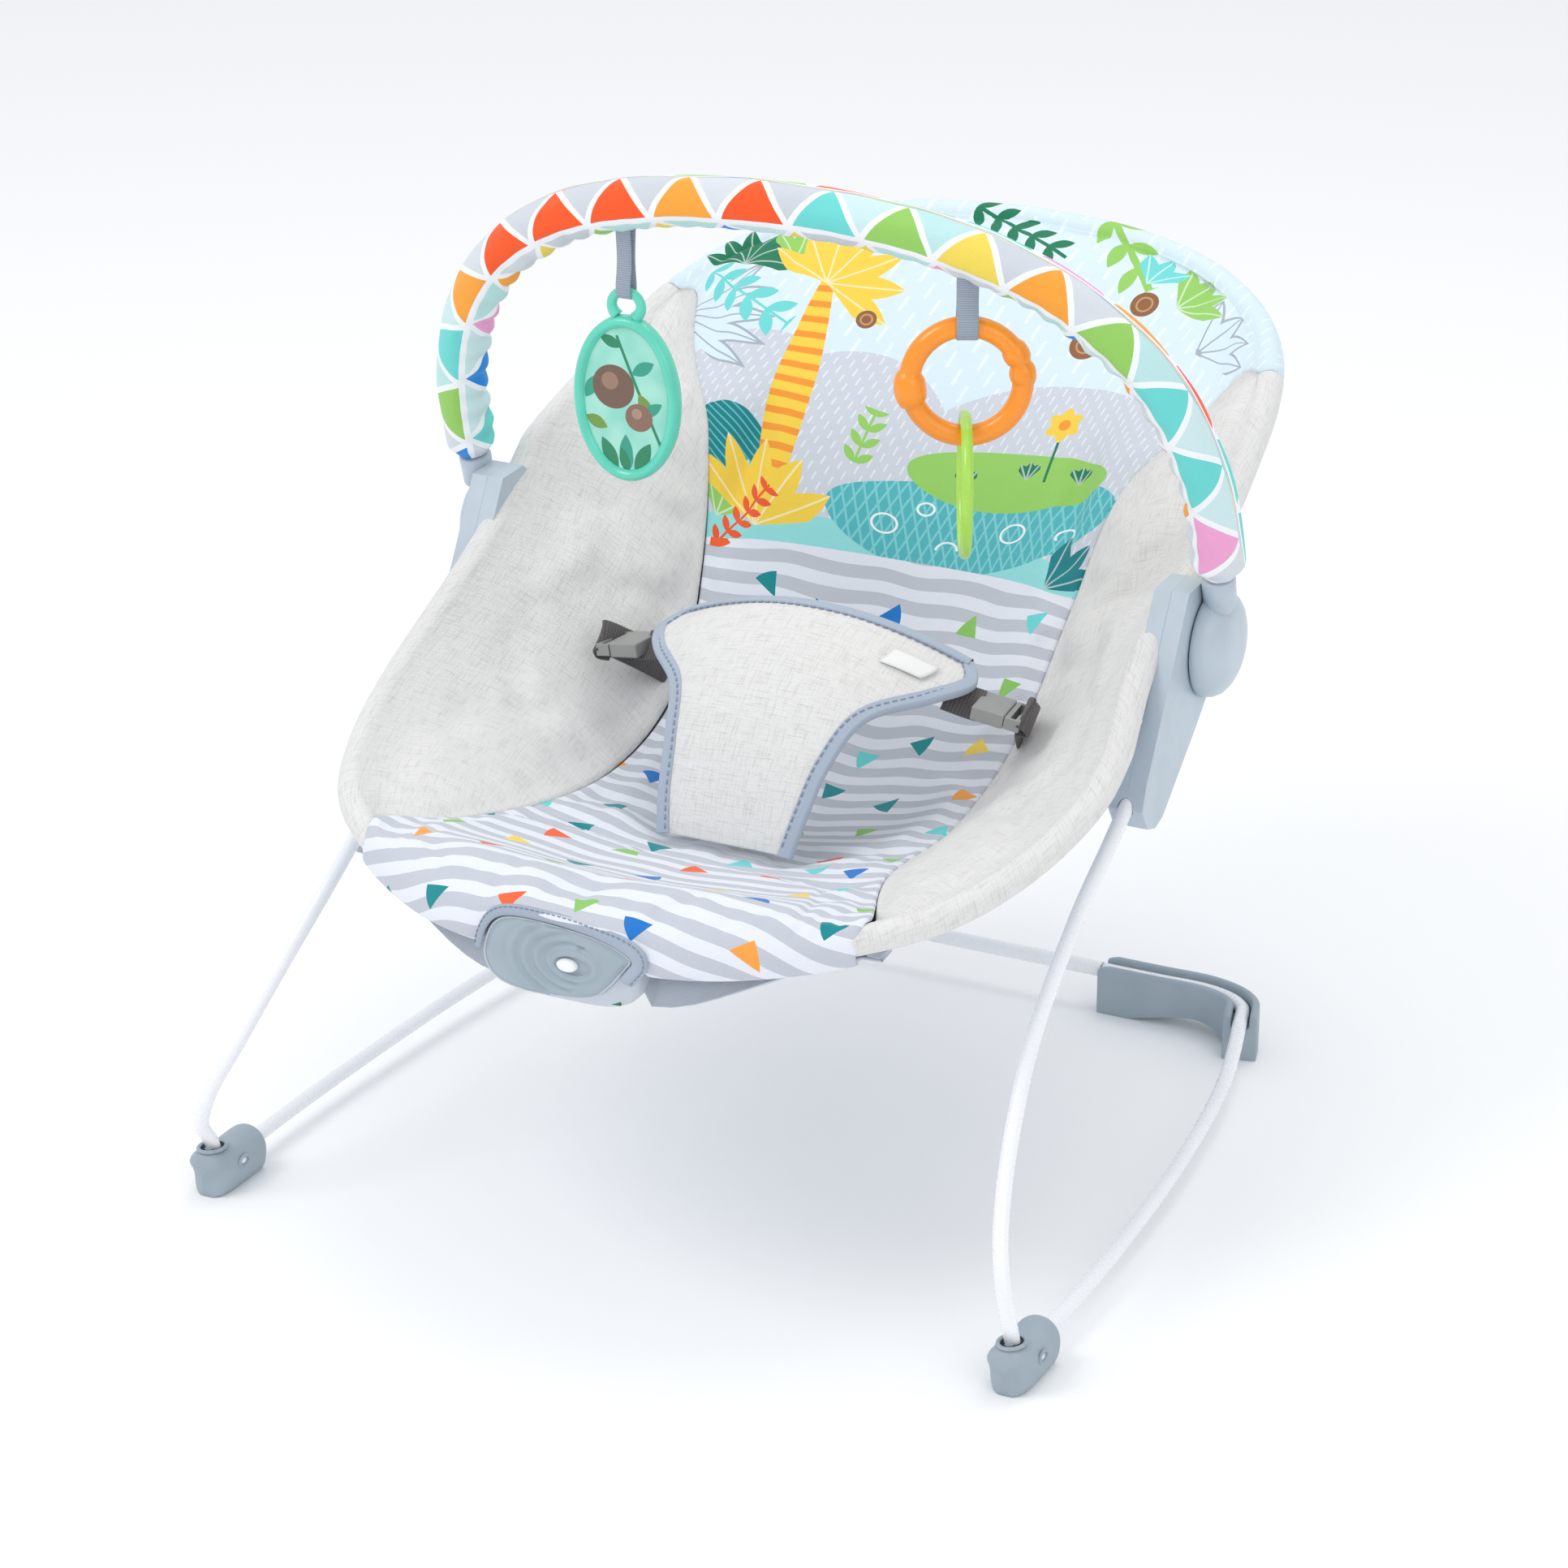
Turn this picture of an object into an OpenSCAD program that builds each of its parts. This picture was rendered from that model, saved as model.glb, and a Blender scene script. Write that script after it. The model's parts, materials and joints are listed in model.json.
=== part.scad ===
// Baby bouncer seat: bent-wire base, sprung sling seat, pivoting toy bar, hanging toys
// and a battery vibration unit. The child faces -Y, +X is the right side seen from the
// front, and z = 0 is the floor.

/* [Base] */
// Half of the distance between the two front feet
foot_x = 230; // [222:1:238]
// Diameter of the steel wire tubes
wire_d = 8; // [6:0.5:8]
// Height of the rear cross tube above the floor
rear_z = 23; // [21:1:25]
// Depth position of the rear cross tube
rear_y = 412; // [405:1:415]

/* [Seat] */
// Half of the distance between the two side housings
hub_x = 200; // [198:1:202]
// Thickness of the padded fabric at the middle of the seat
pad_t = 12; // [8:1:14]
// Thickness of the underside fabric
lining_t = 2; // [1:0.5:3]

/* [Toy bar] */
// Height of the arch above its pivot
bar_h = 225; // [205:1:240]
// Forward lean of the arch at rest, in degrees
bar_lean = 15.4; // [5:0.1:25]
// Outer diameter of the padded sleeve
sleeve_d = 27; // [22:1:28]
// Diameter of the plastic tube inside the sleeve
bar_d = 11; // [9:0.5:12]

/* [Toys] */
// Distance of the hanging toys from the middle
toy_x = 97; // [85:1:110]
// Outer diameter of the teether ring
ring_d = 68; // [60:1:72]
// Outer diameter of the thin link ring
link_d = 76; // [66:1:80]
// Height of the oval medallion
medallion_h = 90; // [80:1:95]
// Width of the oval medallion
medallion_w = 63; // [56:1:68]

/* [Vibration unit] */
// Width of the unit
unit_w = 86; // [80:1:90]
// Height of the unit
unit_h = 50; // [48:1:54]

/* [Hidden] */

$fn = 48;
origin_y = 231.5;               // depth of the box's middle behind the front-foot bends
side_sign = [-1, 1];
wire_r = wire_d / 2;
fit_gap = 0.05;                 // radial clearance of a plugged or turning fit

// Colours
plastic = [0.62, 0.68, 0.73];
shell_grey = [0.74, 0.78, 0.83];
wire_white = [0.95, 0.95, 0.95];
weave = [0.87, 0.86, 0.84];
stripe = [0.78, 0.80, 0.86];
sky = [0.80, 0.91, 0.94];
webbing_grey = [0.36, 0.34, 0.34];
buckle_grey = [0.59, 0.59, 0.58];
steel = [0.7, 0.7, 0.72];

// ---- curves ----
function lerp(a, b, t) = a + (b - a) * t;
function unit(v) = v / norm(v);
function bezier(p, t) =
    pow(1 - t, 3) * p[0] + 3 * pow(1 - t, 2) * t * p[1]
    + 3 * (1 - t) * t * t * p[2] + pow(t, 3) * p[3];
function clamp(i, n) = min(max(i, 0), n);
// Catmull-Rom point at parameter t = 0 .. len(p) - 1
function spline(p, t) =
    let (last = len(p) - 1,
         i = min(floor(t), last - 1),
         f = t - i,
         a = p[clamp(i - 1, last)], b = p[i], c = p[i + 1], d = p[clamp(i + 2, last)])
    0.5 * (2 * b + (c - a) * f + (2 * a - 5 * b + 4 * c - d) * f * f
           + (3 * b - a - 3 * c + d) * f * f * f);
function spline_path(p, per) =
    [for (k = [0 : (len(p) - 1) * per]) spline(p, k / per)];
function mirrored(p) = [for (q = p) [-q[0], q[1], q[2]]];
function flipped(p) = [for (k = [len(p) - 1 : -1 : 0]) p[k]];
function tangent(p, k) = unit(p[clamp(k + 1, len(p) - 1)] - p[clamp(k - 1, len(p) - 1)]);
// One ring of the swept tube; up is a direction that the path never runs along
function ring_points(p, k, r, sides, up) =
    let (t = tangent(p, k), n = unit(cross(up, t)), b = cross(t, n))
    [for (s = [0 : sides - 1]) p[k] + r * (cos(360 * s / sides) * n + sin(360 * s / sides) * b)];

module sweep(path, r, up, sides = 12) {
    n = len(path);
    points = [for (k = [0 : n - 1]) each ring_points(path, k, r, sides, up)];
    walls = [for (k = [0 : n - 2], s = [0 : sides - 1])
        let (e = (s + 1) % sides)
        [k * sides + s, (k + 1) * sides + s, (k + 1) * sides + e, k * sides + e]];
    split = [for (w = walls) each [[w[0], w[1], w[2]], [w[0], w[2], w[3]]]];
    caps = [[for (s = [0 : sides - 1]) s], [for (s = [sides - 1 : -1 : 0]) (n - 1) * sides + s]];
    polyhedron(points, concat(split, caps));
}

// A tube with a hole all along it
module sweep_hollow(path, r, hole, up, sides = 16) {
    n = len(path);
    points = [for (k = [0 : n - 1]) each concat(ring_points(path, k, r, sides, up),
                                                 ring_points(path, k, hole, sides, up))];
    row = 2 * sides;
    outer = [for (k = [0 : n - 2], s = [0 : sides - 1])
        let (e = (s + 1) % sides)
        each [[k * row + s, (k + 1) * row + s, (k + 1) * row + e],
              [k * row + s, (k + 1) * row + e, k * row + e]]];
    inner = [for (k = [0 : n - 2], s = [0 : sides - 1])
        let (e = (s + 1) % sides, a = k * row + sides, b = (k + 1) * row + sides)
        each [[a + s, b + e, b + s], [a + s, a + e, b + e]]];
    first = [for (s = [0 : sides - 1])
        let (e = (s + 1) % sides)
        each [[s, e, sides + e], [s, sides + e, sides + s]]];
    z = (n - 1) * row;
    last = [for (s = [0 : sides - 1])
        let (e = (s + 1) % sides)
        each [[z + s, z + sides + e, z + e], [z + s, z + sides + s, z + sides + e]]];
    polyhedron(points, concat(outer, inner, first, last));
}

// A closed slab between two grids of points, each a list of rows
module slab(top, bottom) {
    rows = len(top);
    cols = len(top[0]);
    count = rows * cols;
    points = concat([for (r = top) each r], [for (r = bottom) each r]);
    upper = [for (i = [0 : rows - 2], j = [0 : cols - 2])
        let (a = i * cols + j, b = a + 1, c = a + cols + 1, d = a + cols)
        each [[a, b, c], [a, c, d]]];
    lower = [for (f = upper) [f[2] + count, f[1] + count, f[0] + count]];
    edge = concat([for (j = [0 : cols - 1]) j],
                  [for (i = [1 : rows - 1]) i * cols + cols - 1],
                  [for (j = [cols - 2 : -1 : 0]) (rows - 1) * cols + j],
                  [for (i = [rows - 2 : -1 : 1]) i * cols]);
    m = len(edge);
    rim = [for (k = [0 : m - 1])
        let (a = edge[k], b = edge[(k + 1) % m])
        each [[a, a + count, b + count], [a, b + count, b]]];
    polyhedron(points, concat(upper, lower, rim));
}

// ---- base ----
foot_pivot = [foot_x, -5, 13];          // where the leg wire turns inside the front foot
eye_r = 6;
pin_r = 2.5;
runner_z = 13;
corner_x = foot_x - 40;
stub_r = 2.6;                           // turned-down end of the runner wire
stub_len = 24;
cross_x = 96;                           // half length of the rear cross tube
function runner_route() = [[foot_x, 16, runner_z], [foot_x + 1, 60, runner_z],
    [foot_x - 1, 130, runner_z + 1], [foot_x - 7, 220, runner_z + 3],
    [foot_x - 19, 310, rear_z - 4], [corner_x + 3, 380, rear_z],
    [corner_x - 6, 402, rear_z], [corner_x - 28, rear_y, rear_z],
    [corner_x - 60, rear_y, rear_z], [cross_x, rear_y, rear_z]];

module runner_tube(side) {
    path = spline_path(runner_route(), 3);
    mirror([side < 0 ? 1 : 0, 0, 0]) color(wire_white) {
        sweep(path, wire_r, [0, 0, 1]);
        translate([cross_x + 1, rear_y, rear_z]) rotate([0, -90, 0])
            cylinder(r = stub_r, h = stub_len);
    }
}

module rear_cross_tube() {
    color(wire_white) difference() {
        translate([-cross_x, rear_y, rear_z]) rotate([0, 90, 0])
            cylinder(r = wire_r + 0.4, h = 2 * cross_x);
        for (s = side_sign)
            translate([s * (cross_x + 1), rear_y, rear_z]) rotate([0, -90 * s, 0])
                cylinder(r = stub_r + fit_gap, h = stub_len + 2);
    }
}

foot_w = 24;
foot_len = 44;
foot_front = -19;
module front_foot(side) {
    translate([side * foot_x, 0, 0]) color(plastic) difference() {
        union() {
            translate([-foot_w / 2, foot_front + 8, 0]) cube([foot_w, foot_len - 8, 12]);
            translate([0, foot_front + 12, 0]) cylinder(r = foot_w / 2, h = 27);
            translate([0, foot_front + 12, 12]) rotate([-90, 0, 0])
                cylinder(r = foot_w / 2, h = foot_len - 12);
        }
        // pocket and slot for the eye of the leg wire
        translate([-wire_r - 2.5, foot_pivot[1], foot_pivot[2]]) rotate([0, 90, 0])
            cylinder(r = eye_r + 0.6, h = 2 * wire_r + 5);
        translate([-wire_r - 1.5, -17, foot_pivot[2]]) cube([2 * wire_r + 3, 18, 30]);
        // pin bore
        translate([-foot_w / 2 - 1, foot_pivot[1], foot_pivot[2]]) rotate([0, 90, 0])
            cylinder(r = pin_r, h = foot_w + 2);
        // runner socket
        translate([0, 9, runner_z]) rotate([-90, 0, 0])
            cylinder(r = wire_r + 0.4, h = foot_len);
    }
}

clip_len = 76;
module rear_foot(side) {
    clip_x = corner_x - 22 - clip_len;
    mirror([side < 0 ? 1 : 0, 0, 0]) color(plastic) difference() {
        union() {
            translate([clip_x, rear_y - 11, 0]) cube([clip_len, 22, rear_z + 6]);
            translate([clip_x + clip_len - 1, rear_y - 34, 0]) cube([36, 45, rear_z + 6]);
        }
        // channel along the cross tube, open at the top
        translate([clip_x - 1, rear_y, rear_z]) rotate([0, 90, 0])
            cylinder(r = wire_r + 0.7, h = clip_len + 2);
        translate([clip_x - 1, rear_y - 3, rear_z]) cube([clip_len + 2, 6, 20]);
        // pocket round the bent corner of the runner
        translate([clip_x + clip_len - 2, rear_y - 36, rear_z - wire_r - 1])
            cube([33, 43, 20]);
    }
}

// ---- legs ----
leg_route = [[foot_x, -6, 17], [foot_x, -10, 29], [foot_x + 1, -17, 43], [foot_x - 4, -14, 62],
    [foot_x - 12, 2, 85], [210, 31, 116], [203, 72, 151], [hub_x, 127, 189],
    [hub_x, 166, 213], [hub_x, 190, 228], [hub_x, 204, 236.8]];

module leg_tube(side) {
    path = spline_path(leg_route, 3);
    mirror([side < 0 ? 1 : 0, 0, 0]) color(wire_white) {
        sweep(path, wire_r, [1, 0, 0]);
        translate([foot_x - wire_r, foot_pivot[1], foot_pivot[2]])
            rotate([0, 90, 0]) cylinder(r = eye_r, h = wire_d);
        translate([foot_x - foot_w / 2, foot_pivot[1], foot_pivot[2]])
            rotate([0, 90, 0]) cylinder(r = pin_r - fit_gap, h = foot_w);
    }
}

// ---- seat frame ----
lower_route = [[0, -26, 204], [60, -20, 205], [105, -6, 207], [140, 14, 212],
    [170, 45, 219], [190, 92, 230], [hub_x, 142, 245], [hub_x, 178, 262], [hub_x, 196, 272]];
upper_route = [[hub_x, 232, 295], [hub_x, 256, 310.6], [hub_x, 280, 326.2],
    [197, 314, 342], [193, 350, 356],
    [186, 398, 376], [173, 436, 392], [148, 466, 407], [108, 490, 419],
    [56, 503, 426], [0, 507, 428]];

module seat_frame_lower_tube() {
    half = spline_path(lower_route, 3);
    path = concat(flipped(mirrored(half)), [for (k = [1 : len(half) - 1]) half[k]]);
    color(wire_white) sweep(path, wire_r, [0, 0, 1]);
}

module seat_frame_upper_tube() {
    half = spline_path(upper_route, 2);
    path = concat([for (k = [0 : len(half) - 2]) half[k]], flipped(mirrored(half)));
    color(wire_white) sweep(path, wire_r, [0, 0.4, 1]);
}

// ---- side housings ----
pivot_y = 268;
pivot_z = 291;
shell_half = 9.5;
shell_wall = 2.4;
disc_r = 28.5;
axle_r = 6;
screw_sites = [[232, 264], [272, 306], [214, 238]];     // [y, z]
housing_outline = [[240, 326], [262, 327], [281, 312], [286, 290], [277, 268],
    [254, 247], [214, 214], [204, 211], [194, 214], [186, 226], [190, 238]];
housing_cavity = [[242, 321], [260, 322], [276, 309], [281, 290], [272, 271],
    [250, 251], [212, 219], [198, 219], [192, 227], [195, 238]];

// Extrudes an outline given as [y, z] points along +X
module profile_x(outline, depth) {
    rotate([90, 0, 90]) linear_extrude(depth) polygon(outline);
}
// A cylinder in a plane of constant x, from one [y, z] point to another
module rod_yz(a, b, r) {
    d = b - a;
    translate([0, a[0], a[1]]) rotate([atan2(d[1], d[0]), 0, 0]) rotate([-90, 0, 0])
        cylinder(r = r, h = norm(d));
}
function yz(p) = [p[1], p[2]];
leg_end = [yz(leg_route[9]), yz(leg_route[10])];
lower_end = [yz(lower_route[7]), yz(lower_route[8])];
upper_end = [yz(upper_route[2]), yz(upper_route[0])];
function beyond(e, back) = e[0] - unit(e[1] - e[0]) * back;
function ahead(e, on) = e[1] + unit(e[1] - e[0]) * on;

// The inner shell is the half x < 0 and the outer shell the half x > 0
module hub_shell(side, outer) {
    sign = outer ? 1 : -1;
    depth = shell_half;
    mirror([side < 0 ? 1 : 0, 0, 0]) translate([hub_x, 0, 0]) color(shell_grey)
    difference() {
        union() {
            difference() {
                translate([outer ? 0 : -depth, 0, 0]) profile_x(housing_outline, depth);
                translate([outer ? -1 : -depth + shell_wall, 0, 0])
                    profile_x(housing_cavity, depth - shell_wall + 1);
            }
            intersection() {
                translate([outer ? 0 : -depth, 0, 0]) profile_x(housing_outline, depth);
                union() {
                    rod_yz(leg_end[0] + [0, 0], ahead(leg_end, 1), wire_r + 2.5);
                    rod_yz(lower_end[0], ahead(lower_end, 1), wire_r + 2.5);
                    rod_yz(upper_end[0], ahead(upper_end, 1), wire_r + 2.5);
                    for (s = screw_sites)
                        translate([outer ? 0 : -depth, s[0], s[1]]) rotate([0, 90, 0])
                            cylinder(r = 3.4, h = depth);
                    translate([outer ? 0 : -depth, pivot_y, pivot_z]) rotate([0, 90, 0])
                        cylinder(r = axle_r + 3, h = depth);
                }
            }
        }
        // sockets of the three wires
        rod_yz(beyond(leg_end, 14), ahead(leg_end, 0.4), wire_r + 0.3);
        rod_yz(beyond(lower_end, 14), ahead(lower_end, 0.4), wire_r + 0.3);
        rod_yz(beyond(upper_end, 14), ahead(upper_end, 0.4), wire_r + 0.3);
        // bearing of the toy bar
        if (outer)
            translate([-1, pivot_y, pivot_z]) rotate([0, 90, 0])
                cylinder(r = axle_r + fit_gap, h = depth + 2);
        // screw holes, driven from the inner face
        for (s = screw_sites)
            translate([-depth - 1, s[0], s[1]]) rotate([0, 90, 0])
                cylinder(r = outer ? 1.4 : 1.5, h = depth + (outer ? 7 : 2));
        if (!outer)
            for (s = screw_sites)
                translate([-depth - 1, s[0], s[1]]) rotate([0, 90, 0])
                    cylinder(r = 2.9, h = 2.8);
    }
}

module screw_x(head_r, shank_r, length) {
    rotate([0, 90, 0]) {
        cylinder(r = head_r, h = 1.6);
        cylinder(r = shank_r, h = length);
    }
}
module hub_screws() {
    color(steel)
        for (side = side_sign) mirror([side < 0 ? 1 : 0, 0, 0])
            for (s = screw_sites)
                translate([hub_x - shell_half + 0.1, s[0], s[1]]) screw_x(2.7, 1.35, 15);
}

// ---- sling ----
// Lines along the seat from the front lip (row 0) to the top of the head (row 7):
// the middle, the seam between back and wing, and the rim beside the frame wire
middle_line = [[0, -8, 206], [0, 112, 186], [0, 205, 168], [0, 282, 190],
    [0, 335, 245], [0, 375, 305], [0, 420, 356], [0, 492, 419]];
seam_line = [[130, 24, 213], [103, 110, 200], [98, 200, 192], [100, 272, 214],
    [109, 318, 272], [123, 350, 332], [150, 392, 371], [130, 459, 403]];
rim_line = [[139, 31, 216], [177, 104, 232], [184, 178, 257], [184, 226, 287],
    [180, 288, 322], [178, 340, 345], [172, 394, 369], [138, 457, 402]];
// A line above the seat that the thickness points away from
spine_line = [[0, 20, 360], [0, 90, 360], [0, 150, 360], [0, 170, 370],
    [0, 200, 390], [0, 240, 430], [0, 290, 490], [0, 380, 560]];
row_step = 0.5;
row_head = 6;                   // the wings end here and the head begins
back_cols = 10;
wing_cols = 4;
seam_gap = 0.8;                 // between the wings and the middle panels
ply_gap = 0.6;                  // between the panels and the lining

// Upper face: u = -1 .. 1 across the middle panel, and w = 0 .. 1 across a wing
function middle_point(v, u) =
    let (m = spline(middle_line, v), s = spline(seam_line, v))
    [s[0] * u, lerp(m[1], s[1], u * u), lerp(m[2], s[2], u * u)];
function wing_point(v, w, side) =
    let (s = spline(seam_line, v), r = spline(rim_line, v),
         p = lerp(s, r, w) + [0, 0, -24 * w * (1 - w) * min(v, 1)])
    [p[0] * side, p[1], p[2]];
function outward(v, p, t) = p + t * unit(p - spline(spine_line, v));
function wing_taper(w) = 1 - 0.7 * w * w;

module middle_panel(first, last, t_from, t_to) {
    grid = function (t) [for (v = [first : row_step : last + 0.01])
        [for (j = [-back_cols / 2 : back_cols / 2])
            outward(v, middle_point(v, j / (back_cols / 2)), t)]];
    slab(grid(t_from), grid(t_to));
}
// Share of the wing's width that its stitched edge stays off the seam
function wing_start(v) = seam_gap / norm(spline(rim_line, v) - spline(seam_line, v));
module wing(side, t_from, t_to) {
    grid = function (t) [for (v = [0 : row_step : row_head + 0.01])
        [for (j = [0 : wing_cols])
            let (w = lerp(wing_start(v), 1, (side > 0 ? j : wing_cols - j) / wing_cols))
            outward(v, wing_point(v, w, side), t * wing_taper(w))]];
    slab(grid(t_from), grid(t_to));
}

module back_panel() color(sky) middle_panel(1, 7, 0, pad_t);
module front_panel() color(stripe) middle_panel(0, 1, 0, pad_t);
module left_wing() color(weave) wing(-1, 0, pad_t);
module right_wing() color(weave) wing(1, 0, pad_t);
// One sheet under all the panels
module seat_lining() {
    side_w = [for (j = [1 : wing_cols]) j / wing_cols];
    grid = function (t) [for (v = [0 : row_step : 7.01]) concat(
        [for (k = [wing_cols - 1 : -1 : 0])
            outward(v, wing_point(v, side_w[k], -1), t * wing_taper(side_w[k]))],
        [for (j = [-back_cols / 2 : back_cols / 2])
            outward(v, middle_point(v, j / (back_cols / 2)), t)],
        [for (w = side_w) outward(v, wing_point(v, w, 1), t * wing_taper(w))])];
    color(shell_grey) slab(grid(pad_t + ply_gap), grid(pad_t + ply_gap + lining_t));
}

// ---- crotch pad and waist straps ----
// Rows of the pad from its sewn lower end to its top edge: [half width, y, z, side drop]
pad_rows = [[33, 131, 189, 0], [37, 140, 210, 1], [41, 156, 236, 3], [46, 178, 258, 6],
    [78, 202, 273, 16], [92, 222, 282, 24], [84, 238, 286, 22]];
pad_thick = 7;
function pad_point(v, u) =
    let (r = spline(pad_rows, v))
    [r[0] * u, r[1] + 0.5 * r[3] * u * u, r[2] - r[3] * u * u];
module crotch_pad() {
    grid = function (t) [for (v = [0 : 0.5 : len(pad_rows) - 0.99])
        [for (j = [-4 : 4])
            pad_point(v, j / 4) + t * [0, 0.75, -0.66] * (0.35 + 0.65 * (1 - pow(j / 4, 4)))]];
    color(weave) slab(grid(0), grid(pad_thick));
}

// The strap runs from the pad's wing down and outwards to the seam of the back panel
strap_at = [96, 231, 249];
strap_dir = unit([33, 4, -6]);
module strap_frame(side) {
    mirror([side < 0 ? 1 : 0, 0, 0]) translate(strap_at)
        rotate([0, 0, atan2(strap_dir[1], strap_dir[0])])
            rotate([0, asin(-strap_dir[2]), 0]) children();
}
buckle_w = 24;
buckle_t = 8;
socket_len = 18;
prong_start = 10;               // how deep the prongs sit in the socket
module buckle_socket(side) {
    strap_frame(side) color(buckle_grey) difference() {
        translate([1, -buckle_w / 2, -buckle_t / 2]) cube([socket_len, buckle_w, buckle_t]);
        translate([6, -buckle_w / 2 + 2.4, -buckle_t / 2 + 2])
            cube([socket_len, buckle_w - 4.8, buckle_t - 4]);
    }
}
tongue_at = socket_len + 1.4;
module buckle_tongue(side) {
    strap_frame(side) color(buckle_grey) {
        for (s = side_sign)
            translate([prong_start, s * 7.6 - 1.3, -1.5]) cube([tongue_at - prong_start + 1, 2.6, 3]);
        translate([prong_start - 1, -1.5, -1.3]) cube([tongue_at - prong_start + 2, 3, 2.6]);
        translate([tongue_at, -buckle_w / 2, -3.2]) difference() {
            cube([8.5, buckle_w, 6.4]);
            translate([2.6, 1.8, -1]) cube([3.4, buckle_w - 3.6, 9]);
        }
    }
}
// The webbing passes through the slot of the tongue
module waist_webbing(side) {
    strap_frame(side) color(webbing_grey)
        translate([tongue_at + 3.4, -9.8, -6]) cube([1.6, 19.6, 10.5]);
}

// ---- vibration unit at the middle of the front lip ----
unit_z = 190;
unit_y = -46;                   // front face
unit_depth = 15;                // of the front shell
back_depth = 17;                // of the back shell
unit_r = 22;
switch_at = [11, unit_z + 5];   // [x, z], at one end of its travel
lamp_at = [15, unit_z + 15];    // hole of the indicator lamp
post_x = 35.5;                  // screw posts
post_z = unit_z - 3;
module unit_outline(w, h) {
    r = min(unit_r, h / 2 - 1);
    translate([-(w / 2 - r), -(h / 2 - r)]) square([w - 2 * r, h - 2 * r]);
    for (sx = side_sign, sz = side_sign)
        translate([sx * (w / 2 - r), sz * (h / 2 - r)]) circle(r);
    translate([-w / 2, -(h / 2 - r)]) square([w, h - 2 * r]);
    translate([-(w / 2 - r), -h / 2]) square([w - 2 * r, h]);
}
// A block of the unit's outline, from y = y0 backwards
module unit_block(y0, depth, w, h) {
    translate([0, y0 + depth, unit_z]) rotate([90, 0, 0]) linear_extrude(depth)
        unit_outline(w, h);
}
unit_wall = 2;
module unit_front_shell() {
    color(plastic) difference() {
        unit_block(unit_y, unit_depth, unit_w, unit_h);
        unit_block(unit_y + unit_wall, unit_depth, unit_w - 2 * unit_wall, unit_h - 2 * unit_wall);
        // slot of the switch
        translate([switch_at[0] - 6.5, unit_y - 1, switch_at[1] - 3]) cube([13, 5, 6]);
        // indicator hole
        translate([lamp_at[0], unit_y + 4, lamp_at[1]]) rotate([90, 0, 0]) cylinder(r = 1.2, h = 6);
    }
    color(plastic) for (s = side_sign) difference() {
        translate([s * post_x, -16.2, post_z]) rotate([90, 0, 0])
            cylinder(r = 3, h = -16.2 - unit_y - 1);
        translate([s * post_x, -15, post_z]) rotate([90, 0, 0]) cylinder(r = 1.15, h = 12);
    }
}
module unit_back_shell() {
    color(shell_grey) difference() {
        unit_block(unit_y + unit_depth, back_depth, unit_w - 4, unit_h - 8);
        unit_block(unit_y + unit_depth - 1, back_depth - unit_wall + 1,
                   unit_w - 8, unit_h - 12);
        // notch that sits on the frame wire
        translate([-unit_w, -38, 196]) cube([2 * unit_w, 40, 40]);
        // opening of the battery door
        translate([-32, -18, unit_z - 13]) cube([30, 6, 17]);
        for (s = side_sign)
            translate([s * post_x, -12, post_z]) rotate([90, 0, 0]) cylinder(r = 1.4, h = 6);
    }
}
module battery_door() {
    color(plastic) translate([-31.8, -16, unit_z - 12.8]) cube([29.6, 2, 16.6]);
}
module battery_cell() {
    color("silver") translate([-31, -25, unit_z - 6]) rotate([0, 90, 0])
        cylinder(r = 6.8, h = 26);
}
module battery_contacts() {
    color(steel) {
        translate([-32.2, -30, unit_z - 11]) cube([0.9, 10, 10]);
        translate([-4.4, -30, unit_z - 11]) cube([1, 10, 10]);
    }
}
motor_x = 14;
motor_z = unit_z - 6;
module vibration_motor() {
    color(steel) difference() {
        translate([motor_x - 10, -25, motor_z]) rotate([0, 90, 0]) cylinder(r = 6, h = 14);
        translate([motor_x, -25, motor_z]) rotate([0, 90, 0]) cylinder(r = 1 + fit_gap, h = 6);
    }
}
module eccentric_weight() {
    color([0.45, 0.42, 0.38]) translate([0, -25, motor_z]) {
        translate([motor_x + 0.2, 0, 0]) rotate([0, 90, 0]) cylinder(r = 1, h = 12);
        difference() {
            translate([motor_x + 5.5, 0, 0]) rotate([0, 90, 0]) cylinder(r = 6, h = 6);
            translate([motor_x + 5, -8, 1.2]) cube([8, 16, 8]);
        }
    }
}
module circuit_board() {
    color([0.2, 0.45, 0.3]) translate([-31, -36, unit_z - 16]) cube([62, 1.4, 20]);
}
module unit_screws() {
    color(steel)
        for (s = side_sign)
            translate([s * post_x, -13.9, post_z]) rotate([90, 0, 0]) {
                translate([0, 0, -1.4]) cylinder(r = 2.4, h = 1.4);
                cylinder(r = 1.1, h = 9);
            }
}
module power_switch() {
    color("white") {
        translate([switch_at[0] - 3.6, unit_y - 2, switch_at[1]]) rotate([-90, 0, 0])
            cylinder(r = 2.6, h = 6.4);
        translate([switch_at[0] - 3.6, unit_y + 2.3, switch_at[1] - 3.6]) cube([4, 2, 7.2]);
        translate([switch_at[0] - 3.6, unit_y - 2, switch_at[1] - 2.6]) cube([2.4, 1.8, 5.2]);
    }
}

// ---- toy bar ----
bar_off = 18;                   // the bar stands this far outside the housing's middle
bar_control = [[hub_x + bar_off, 0], [hub_x + 11, 33], [hub_x + 70, bar_h], [0, bar_h]];
bar_steps = 14;
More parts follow.
